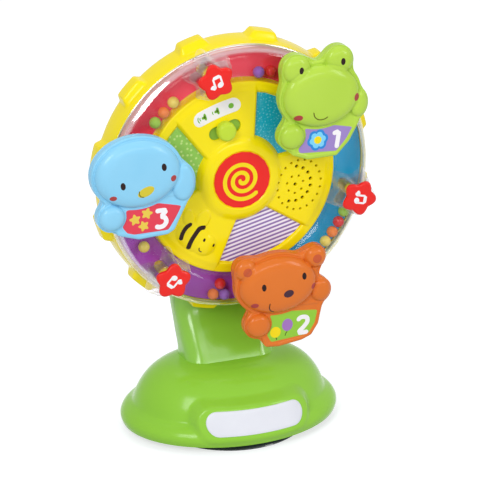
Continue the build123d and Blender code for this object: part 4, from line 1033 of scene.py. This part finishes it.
# The towers' walls are steep and ripple more, so they catch far more of the panels.
fluted, tree = material("clear_polystyrene_fluted")
gloss, facing = clear_gloss(tree, 5.0, 0.7, 0.0002, (0.05, 0.12))
milky = add(tree, "BsdfDiffuse", {"Color": linear("#FFFAFA")})
whitish = add(tree, "MixShader", {0: 0.4, 1: gloss, 2: milky})
slant = add(tree, "Math", {0: facing, 1: 3.0}, operation="POWER")
slant = add(tree, "MapRange", {0: slant, 3: 0.03, 4: 0.85})
through = add(tree, "BsdfTransparent", {"Color": linear("#FEFCFC")})
add(tree, "OutputMaterial", {"Surface": add(tree, "MixShader", {0: slant, 1: through, 2: whitish})})
skins = [tower(angle, 15.6) for angle in star_angles]
towers = piece("star_towers_fluted", skins, fluted, "wheel")
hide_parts("star_towers")
skins = [tower(angle, 11.8) for angle in animal_angles]
towers = piece("hanger_towers_fluted", skins, fluted, "wheel")
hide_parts("hanger_towers")

# Star buttons
# Each red star is a glossy cap that is pressed against its clear tower. A white pair of notes is
# printed on its face, with its top towards the rim.
cap_top_h, cap_waist, cap_blunt = 20.9, 0.76, 0.7
cap_line = [
    (0.1, 17.85), (10.3, 17.85), (11.3, 18.0), (11.7, 18.4), (11.8, 19.3), (11.6, 20.0), (11.0, 20.45),
    (9.9, 20.7), (7.4, 20.85), (3.3, cap_top_h), (0.1, cap_top_h),
]
note_strokes = [
    ((-1.5, -2.9), (-1.5, 3.4), 1.25, 0.07), ((3.9, -2.5), (3.9, 3.8), 1.25, 0.07),
    ((-1.6, 3.2), (4.0, 3.6), 2.2, 0.075),
]
tube_line = [(6.4, 17.9), (6.4, 14.4), (5.0, 14.4), (5.0, 17.9)]
# The ink is opaque and satin, and stands a little off the glossy red.
white_ink = moulded("padded_ink_white", "#F4EFEF", "#FCF9F9", gloss=0.26, wave=3.0)
star_red = moulded("red_abs_star_caps", "#EA1E1A", "#F22A20", gloss=0.14)


def cap_level(x, y):
    """The gently domed face of a star cap, near its middle: a paraboloid."""
    return cap_top_h - 0.0035 * (x**2 + y**2)


def on_cap(points, angle):
    """Points of the note, drawn upright, turned so that its top is towards the rim."""
    points = np.asarray(points, float) * 0.92 - (0.7, -0.3)
    return from_spoke(points[:, 0], points[:, 1], angle - 90)


for number, angle in enumerate(star_angles, 1):
    origin = at_angle(post_ring_r, angle)
    rows = [on_wheel(*star_places(angle, 180, tip, cap_waist, cap_blunt), height) for tip, height in cap_line]
    skins = [skin(rows), skin(turned(tube_line, 48, origin))]
    cap = piece(f"star_cap_{number}_round", skins, star_red, f"star_button_{number}")
    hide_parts(f"star_cap_{number}")
    heads = on_cap([(-2.9, -3.1), (2.5, -2.7)], angle)
    note = [spot(place, (2.1, 1.75), cap_level, angle - 65, 0.07, origin) for place in heads]
    for start, end, width, lift in note_strokes:
        note.append(band(on_cap(np.linspace(start, end, 10), angle), width, cap_level, lift, origin))
    piece(f"star_note_{number}", note, white_ink, f"star_button_{number}")

# Swinging animals
# Frog, bird and bear are glossy two-part mouldings that hang from pins and swing. Each has a flat
# plate with a domed head, hands and ears in relief, padded ink for the face, and a printed card.
plate_h, dome_foot_h, card_h = 19.4, 20.4, 20.72


def oval_gap(x, y, oval):
    """How far a point is outside an oval: its share of the half widths less one, over the slope
    of that share."""
    middle_x, middle_y, half_x, half_y = oval
    u, v = (x - middle_x) / half_x, (y - middle_y) / half_y
    share = np.hypot(u, v) + 1e-9
    return (share - 1) * share / (np.hypot(u / half_x, v / half_y) + 1e-9)


def corner_gap(x, y, corners):
    """How far a point is outside a shape with straight sides, and less than nothing inside it."""
    gap, inside = np.full(np.shape(x), 1e9), np.zeros(np.shape(x), bool)
    for (x0, y0), (x1, y1) in zip(corners, corners[1:] + corners[:1]):
        share = ((x - x0) * (x1 - x0) + (y - y0) * (y1 - y0)) / ((x1 - x0) ** 2 + (y1 - y0) ** 2)
        share = np.clip(share, 0, 1)
        gap = np.minimum(gap, np.hypot(x - x0 - share * (x1 - x0), y - y0 - share * (y1 - y0)))
        rise = y1 - y0 if y1 != y0 else 1e-9
        inside ^= ((y0 > y) != (y1 > y)) & (x < (x1 - x0) * (y - y0) / rise + x0)
    return np.where(inside, -gap, gap)


def melted(a, b, soft):
    """The smaller of two gaps, with a fillet where they meet."""
    return (a + b - np.sqrt((a - b) ** 2 + soft**2)) / 2


def softened(reach, spread, span):
    """Distances round an outline, each averaged with its neighbours by a bell curve."""
    weights = np.exp(-0.5 * (np.arange(-span, span + 1) / spread) ** 2)
    return np.convolve(np.concatenate([reach[-span:], reach, reach[:span]]), weights / weights.sum(), "valid")


class Animal:
    """The outline and the front surface of one animal, about its pivot."""

    def __init__(self, spec):
        self.spec = spec
        self.ovals = [spec["head"], spec["arm"], spec["hand"], *spec["bumps"]]

    def gap(self, x, y):
        """How far a point is outside the whole outline."""
        gap = corner_gap(x, y, self.spec["body"])
        for oval in self.ovals:
            gap = melted(gap, oval_gap(x, y, oval), 1.6)
        return gap + 0.12

    def card_gap(self, x, y):
        """How far a point is outside the card, which is cut back round the chin and the hand."""
        gap = corner_gap(x, y, self.spec["card"])
        gap = np.maximum(gap, -oval_gap(x, y, self.spec["head"]) - 0.2)
        return np.maximum(gap, -oval_gap(x, y, self.spec["hand"]) - 0.2)

    def level(self, x, y):
        """The front's height: a plate with a round edge and a shallow dish, and on it domes with
        steep rounded sides, each with a groove about its foot."""
        edge = np.clip(-self.gap(x, y), 0, None)
        level = plate_h + 1.6 * round_step(edge, 1.8) - 0.4 * eased((edge - 2.2) / 1.2)
        for oval, top, width, ledge, groove in self.domes():
            inside = -oval_gap(x, y, oval) - ledge
            share = np.clip(inside / width, 0, 1)
            crown = 0.22 * (top - dome_foot_h)
            rise = (top - dome_foot_h - crown) * (1 - (1 - share) ** 2.2) ** (1 / 2.2)
            middle = np.hypot((x - oval[0]) / oval[2], (y - oval[1]) / oval[3])
            rise = rise + crown * np.clip(1 - middle**2, 0, 1)
            level = level - groove * np.exp(-(((inside + 0.5) / 0.8) ** 2)) * (edge > 0.8)
            dome = raised_max(level, np.where(inside > 0, dome_foot_h + rise, plate_h + 0.2), 0.35)
            level = np.where(inside > -0.5, dome, level)
        return level

    def domes(self):
        """Each dome as its oval, top, side width, ledge and groove, from the back to the front."""
        made = [(bump, 24.6, 6.0, 1.3, 0.25) for bump in self.spec["bumps"]]
        made.append((self.spec["arm"], 23.2, 4.0, 1.2, 0.2))
        made.append((self.spec["head"], 26.5, 8.5, 2.3, 0.5))
        made.append((self.spec["hand"], 24.6, 5.5, 1.6, 0.35))
        return made


# Ovals are given by their middle and half widths, and bodies and cards by their corners.
animals = {
    "frog": {
        "coat": ("#AED240", "#BCDC4E"), "slot": "frog_green", "paper": ("#9A80C2", "#A58CCA"),
        "head": (-5.6, 0.2, 27.6, 22.4), "bumps": [(-21.8, 18.8, 10.4, 10.4), (6.3, 21.7, 10.4, 10.4)],
        "arm": (19.8, -8.0, 7.2, 9.8), "hand": (-24.6, -24.8, 9.6, 9.6),
        "body": [
            (21.5, -12), (20.6, -21), (14.5, -32.5), (6, -41.5), (-14, -41.7), (-24.5, -37.5), (-24, -8),
        ],
        "card": [(-13.2, -17.0), (17.4, -23.6), (6.2, -38.0), (-19.5, -36.5), (-22.5, -24.0)],
        "card_middle": (-3.0, -30.0),
    },
    "bird": {
        "coat": ("#86CCEC", "#98D6F2"), "slot": "bird_blue", "paper": ("#E03A4C", "#E84858"),
        "head": (-0.8, 3.2, 29.8, 24.0), "bumps": [],
        "arm": (29.0, -6.5, 8.6, 13.0), "hand": (-17.6, -24.0, 9.8, 9.8),
        "body": [(33, -12), (31.5, -21), (23.5, -37.5), (19, -40), (0, -41), (-13.9, -36.5), (-20, -12)],
        "card": [(0, -15.0), (28.6, -22.0), (19.2, -36.7), (-6.5, -36.9), (-11.5, -30.2), (-7.2, -18.0)],
        "card_middle": (6.0, -30.0),
    },
    "bear": {
        "coat": ("#DC6E20", "#E67C2E"), "slot": "bear_orange", "paper": ("#8FC838", "#9CD044"),
        "head": (-4.5, 4.8, 28.4, 21.4), "bumps": [(-26.0, 17.6, 8.4, 8.4), (21.3, 20.4, 8.4, 8.4)],
        "arm": (25.2, -3.4, 7.8, 8.6), "hand": (-17.4, -21.8, 9.6, 9.6),
        "body": [(27.5, -10), (24.3, -26.6), (19.5, -34.2), (13, -36.8), (-3, -39), (-13.3, -38), (-18, -8)],
        "card": [(-9.1, -13.5), (23.9, -17.0), (19.5, -32.5), (-8.5, -34.8), (-12.5, -27.0)],
        "card_middle": (3.5, -26.0),
    },
}
figures = {name: Animal(spec) for name, spec in animals.items()}
origins = {name: at_angle(post_ring_r, angle) for name, angle in zip(animals, animal_angles)}


def outline_loop(name, middle, reach, height):
    """A loop on an animal at one height, from its distances round a middle."""
    turns = np.linspace(0, 2 * pi, len(reach), endpoint=False)
    x, y = middle[0] + reach * np.cos(turns), middle[1] + reach * np.sin(turns)
    return on_wheel(x + origins[name][0], y + origins[name][1], height)


middle = (-1.0, -8.0)
turns, steps = np.linspace(0, 2 * pi, 420, endpoint=False), np.linspace(60, 4, 900)
shares = np.concatenate([np.linspace(0.002, 0.86, 62), np.linspace(0.87, 1.0, 24)])[:, None]
front_edge = [(0.0, 18.6), (0.0, 17.5), (0.1, 17.2), (0.35, 17.06), (3.0, 17.06)]
rear_edge = [
    (3.0, 16.98), (0.35, 16.98), (0.1, 16.84), (0.0, 16.5), (0.0, 14.8), (0.3, 13.8), (0.9, 13.2),
    (1.8, 13.0), (12.0, 13.0), (22.0, 13.0),
]
boss_line = [(4.9, 13.2), (4.9, 12.75), (2.6, 12.75), (2.6, 13.2)]
for name, figure in figures.items():
    coat = moulded("abs_moulded_" + name, *figure.spec["coat"], gloss=0.17, patch=34.0)
    slot, (ox, oy) = figure.spec["slot"], origins[name]
    # The outline is searched inwards from outside, at each angle about the middle.
    x, y = middle[0] + steps[:, None] * np.cos(turns), middle[1] + steps[:, None] * np.sin(turns)
    reach = softened(steps[np.argmax(figure.gap(x, y) < 0, axis=0)], 5.0, 14)
    x, y = middle[0] + shares * reach * np.cos(turns), middle[1] + shares * reach * np.sin(turns)
    rows = list(on_wheel(x + ox, y + oy, figure.level(x, y)))
    rows += [outline_loop(name, middle, reach - inset, height) for inset, height in front_edge]
    front = piece(name + "_front_domed", [skin(rows)], coat, name)
    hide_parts(name + "_front")
    rows = [outline_loop(name, middle, reach - inset, height) for inset, height in rear_edge]
    boss = turned(boss_line, 48, (ox, oy))
    rear = piece(name + "_rear_round", [skin(rows), skin(boss)], coat, name)
    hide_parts(name + "_rear")

# Cards: a coloured sheet in the dish of each animal's plate, with rounded corners.
turns, steps = np.linspace(0, 2 * pi, 300, endpoint=False), np.linspace(0.5, 40, 1200)
card_edge = [
    (0.01, card_h), (0.5, card_h), (0.97, card_h), (0.992, card_h - 0.03), (1.0, card_h - 0.12),
    (1.0, card_h - 0.52), (0.5, card_h - 0.52),
]
for name, figure in figures.items():
    paper = moulded("printed_card_" + name, *figure.spec["paper"], gloss=0.3, wave=4.0)
    middle = figure.spec["card_middle"]
    x, y = middle[0] + steps[:, None] * np.cos(turns), middle[1] + steps[:, None] * np.sin(turns)
    reach = softened(steps[np.argmax(figure.card_gap(x, y) > 0, axis=0)], 2.2, 6)
    rows = [outline_loop(name, middle, share * reach, height) for share, height in card_edge]
    card = piece(name + "_card_sheet", [skin(rows)], paper, name)
    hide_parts(name + "_card")

# Numbers on the cards: a place and strokes about it, in white padded ink.
numbers = {
    "frog": ((5.6, -30.2), [[(-2.8, 3.9), (-0.6, 4.6), (1.6, 5.4)], [(1.6, 5.4), (0.8, 0.0), (-0.1, -6.0)]]),
    "bird": ((14.2, -28.6), [
        [(-3.5, 5.3), (0.2, 5.4), (4.0, 5.3)], [(4.0, 5.3), (2.0, 3.2), (0.0, 1.2)],
        [(-0.4, 1.2), (2.4, 0.6), (3.6, -2.2), (1.8, -4.9), (-1.2, -5.5), (-3.8, -4.4)],
    ]),
    "bear": ((13.2, -26.0), [
        [(-3.4, 2.9), (-2.4, 4.9), (0.2, 5.6), (2.8, 4.6), (3.2, 2.2), (1.4, -0.6), (-1.4, -3.2),
         (-3.4, -5.2)],
        [(-3.4, -5.2), (0.0, -5.3), (3.9, -5.2)],
    ]),
}
for name, (place, strokes) in numbers.items():
    lines = [
        band(curve(np.add(stroke, place), 40), 3.0, flat(card_h), 0.06 + 0.01 * k, origins[name])
        for k, stroke in enumerate(strokes)
    ]
    piece(name + "_number", lines, white_ink, name)

# Small pictures on the cards and the faces, all in padded ink. Each spot is an ink, a middle, half
# widths and a turn, and then its lift, with a shape where it is no oval.


def lobed(count, depth):
    """An outline with round petals: the radius swings by a depth that many times round."""
    return lambda turns: 1 - depth + depth * np.abs(np.cos(turns * count / 2)) ** 0.7


def star_shape(turns):
    """A small blunt star."""
    return star_line(turns, 1.0, 0.6, 0.9)


inks = {
    "dark": dark_ink,
    "yellow": yellow_ink,
    "blue": moulded("padded_ink_blue", "#2A7FD0", "#3590DC", gloss=0.28, wave=3.0),
    "sky": moulded("padded_ink_sky", "#74CDF2", "#86D6F6", gloss=0.28, wave=3.0),
    "lilac": moulded("padded_ink_lilac", "#A070B8", "#AC7EC2", gloss=0.28, wave=3.0),
    "gold": moulded("padded_ink_gold", "#E6C440", "#EECF54", gloss=0.28, wave=3.0),
    "cheek": moulded("padded_ink_cheek_red", "#A93A38", "#B54642", gloss=0.3, wave=3.0),
    "olive": moulded("padded_ink_olive", "#5C5A12", "#6A6818", gloss=0.3, wave=3.0),
    "nose": moulded("padded_ink_nose", "#3E2230", "#4C2C3C", gloss=0.2, wave=3.0),
    "ear": moulded("padded_ink_ear", "#C4542A", "#CE5E34", gloss=0.22, wave=3.0),
}
pictures = {
    "frog": [
        ("blue", (-7.2, -29.2), (7.2, 7.2), 10, 0.05, lobed(6, 0.18)),
        ("sky", (-7.2, -29.2), (5.6, 5.6), 10, 0.09, lobed(6, 0.26)),
        ("yellow", (-7.2, -29.2), (2.6, 2.6), 0, 0.13, None),
    ],
    "bird": [
        ("gold", (-2.6, -27.2), (3.8, 3.8), 100, 0.05, star_shape),
        ("gold", (5.2, -24.0), (3.8, 3.8), 75, 0.05, star_shape),
        ("gold", (3.0, -32.0), (3.6, 3.6), 110, 0.05, star_shape),
    ],
    "bear": [
        ("yellow", (-5.6, -28.4), (3.6, 3.8), 0, 0.05, None),
        ("lilac", (2.6, -24.4), (3.7, 4.3), 0, 0.05, None),
    ],
}
strings = {"frog": [], "bird": [], "bear": [
    [(-5.6, -32.2), (-4.6, -33.0), (-5.2, -33.9)], [(2.6, -28.7), (1.4, -30.4), (1.0, -32.0)],
]}
face_spots = {
    "frog": [
        ("dark", (-20.0, 19.1), (1.5, 2.3), 0, 0.06), ("dark", (7.7, 22.0), (1.5, 2.3), 0, 0.06),
        ("cheek", (-21.9, -11.6), (2.7, 2.1), 0, 0.06), ("cheek", (17.4, -2.6), (2.0, 2.7), 0, 0.06),
    ],
    "bird": [
        ("dark", (-11.8, -1.9), (1.6, 2.5), 10, 0.06), ("dark", (14.9, 7.2), (1.6, 2.5), 10, 0.06),
        ("cheek", (-17.8, -9.5), (2.2, 1.7), 0, 0.06), ("cheek", (21.3, -1.1), (2.0, 2.1), 0, 0.06),
    ],
    "bear": [
        ("dark", (-15.6, 6.2), (1.5, 2.4), 5, 0.06), ("dark", (11.9, 10.2), (1.5, 2.4), 5, 0.06),
        ("nose", (1.2, -0.2), (3.4, 2.5), 10, 0.25), ("cheek", (-21.3, -5.9), (2.4, 1.8), 0, 0.06),
        ("cheek", (19.2, 1.6), (2.0, 2.2), 0, 0.06), ("ear", (-26.0, 17.4), (3.0, 3.0), 0, 0.06),
        ("ear", (21.3, 20.2), (3.0, 3.0), 0, 0.06),
    ],
}
smiles = {
    "frog": ("olive", [(-12.4, -8.4), (-11.5, -11.6), (-8.6, -13.8), (-4.6, -13.6), (-2.6, -12.4)], 0.65),
    "bird": ("olive", [(-1.4, -6.4), (-1.4, -8.6), (0.2, -10.4), (1.8, -10.8)], 0.6),
    "bear": ("dark", [(-11.4, -5.2), (-11.8, -8.2), (-10.4, -11.0), (-7.8, -12.4)], 0.6),
}
for name, figure in figures.items():
    origin, coat_slot, groups = origins[name], figure.spec["slot"], {}
    for tone, place, half, lean, lift, shape in pictures[name]:
        mark = spot(place, half, flat(card_h), lean, lift, origin, shape)
        groups.setdefault((tone, "card_cream", "picture"), []).append(mark)
    for path in strings[name]:
        mark = band(curve(path, 12), 0.45, flat(card_h), 0.05, origin)
        groups.setdefault(("dark", "card_cream", "string"), []).append(mark)
    for tone, place, half, lean, lift in face_spots[name]:
        mark = spot(place, half, figure.level, lean, lift, origin)
        groups.setdefault((tone, coat_slot, "face"), []).append(mark)
    tone, path, width = smiles[name]
    groups[tone, coat_slot, "smile"] = [band(curve(path, 30), width, figure.level, 0.12, origin)]
    for (tone, slot, kind), parts in groups.items():
        piece(f"{name}_{kind}_{tone}", parts, inks[tone], name)

# The bird's beak is a small soft oval of yellow ink laid on thick.
beak_yellow = moulded("padded_ink_beak", "#D2C030", "#DCCB3C", gloss=0.26, wave=3.0)
beak = spot((3.0, -7.4), (5.6, 3.1), figures["bird"].level, 22, 0.1, origins["bird"])
piece("bird_beak", [beak], beak_yellow, "bird")

low, high = cad_box
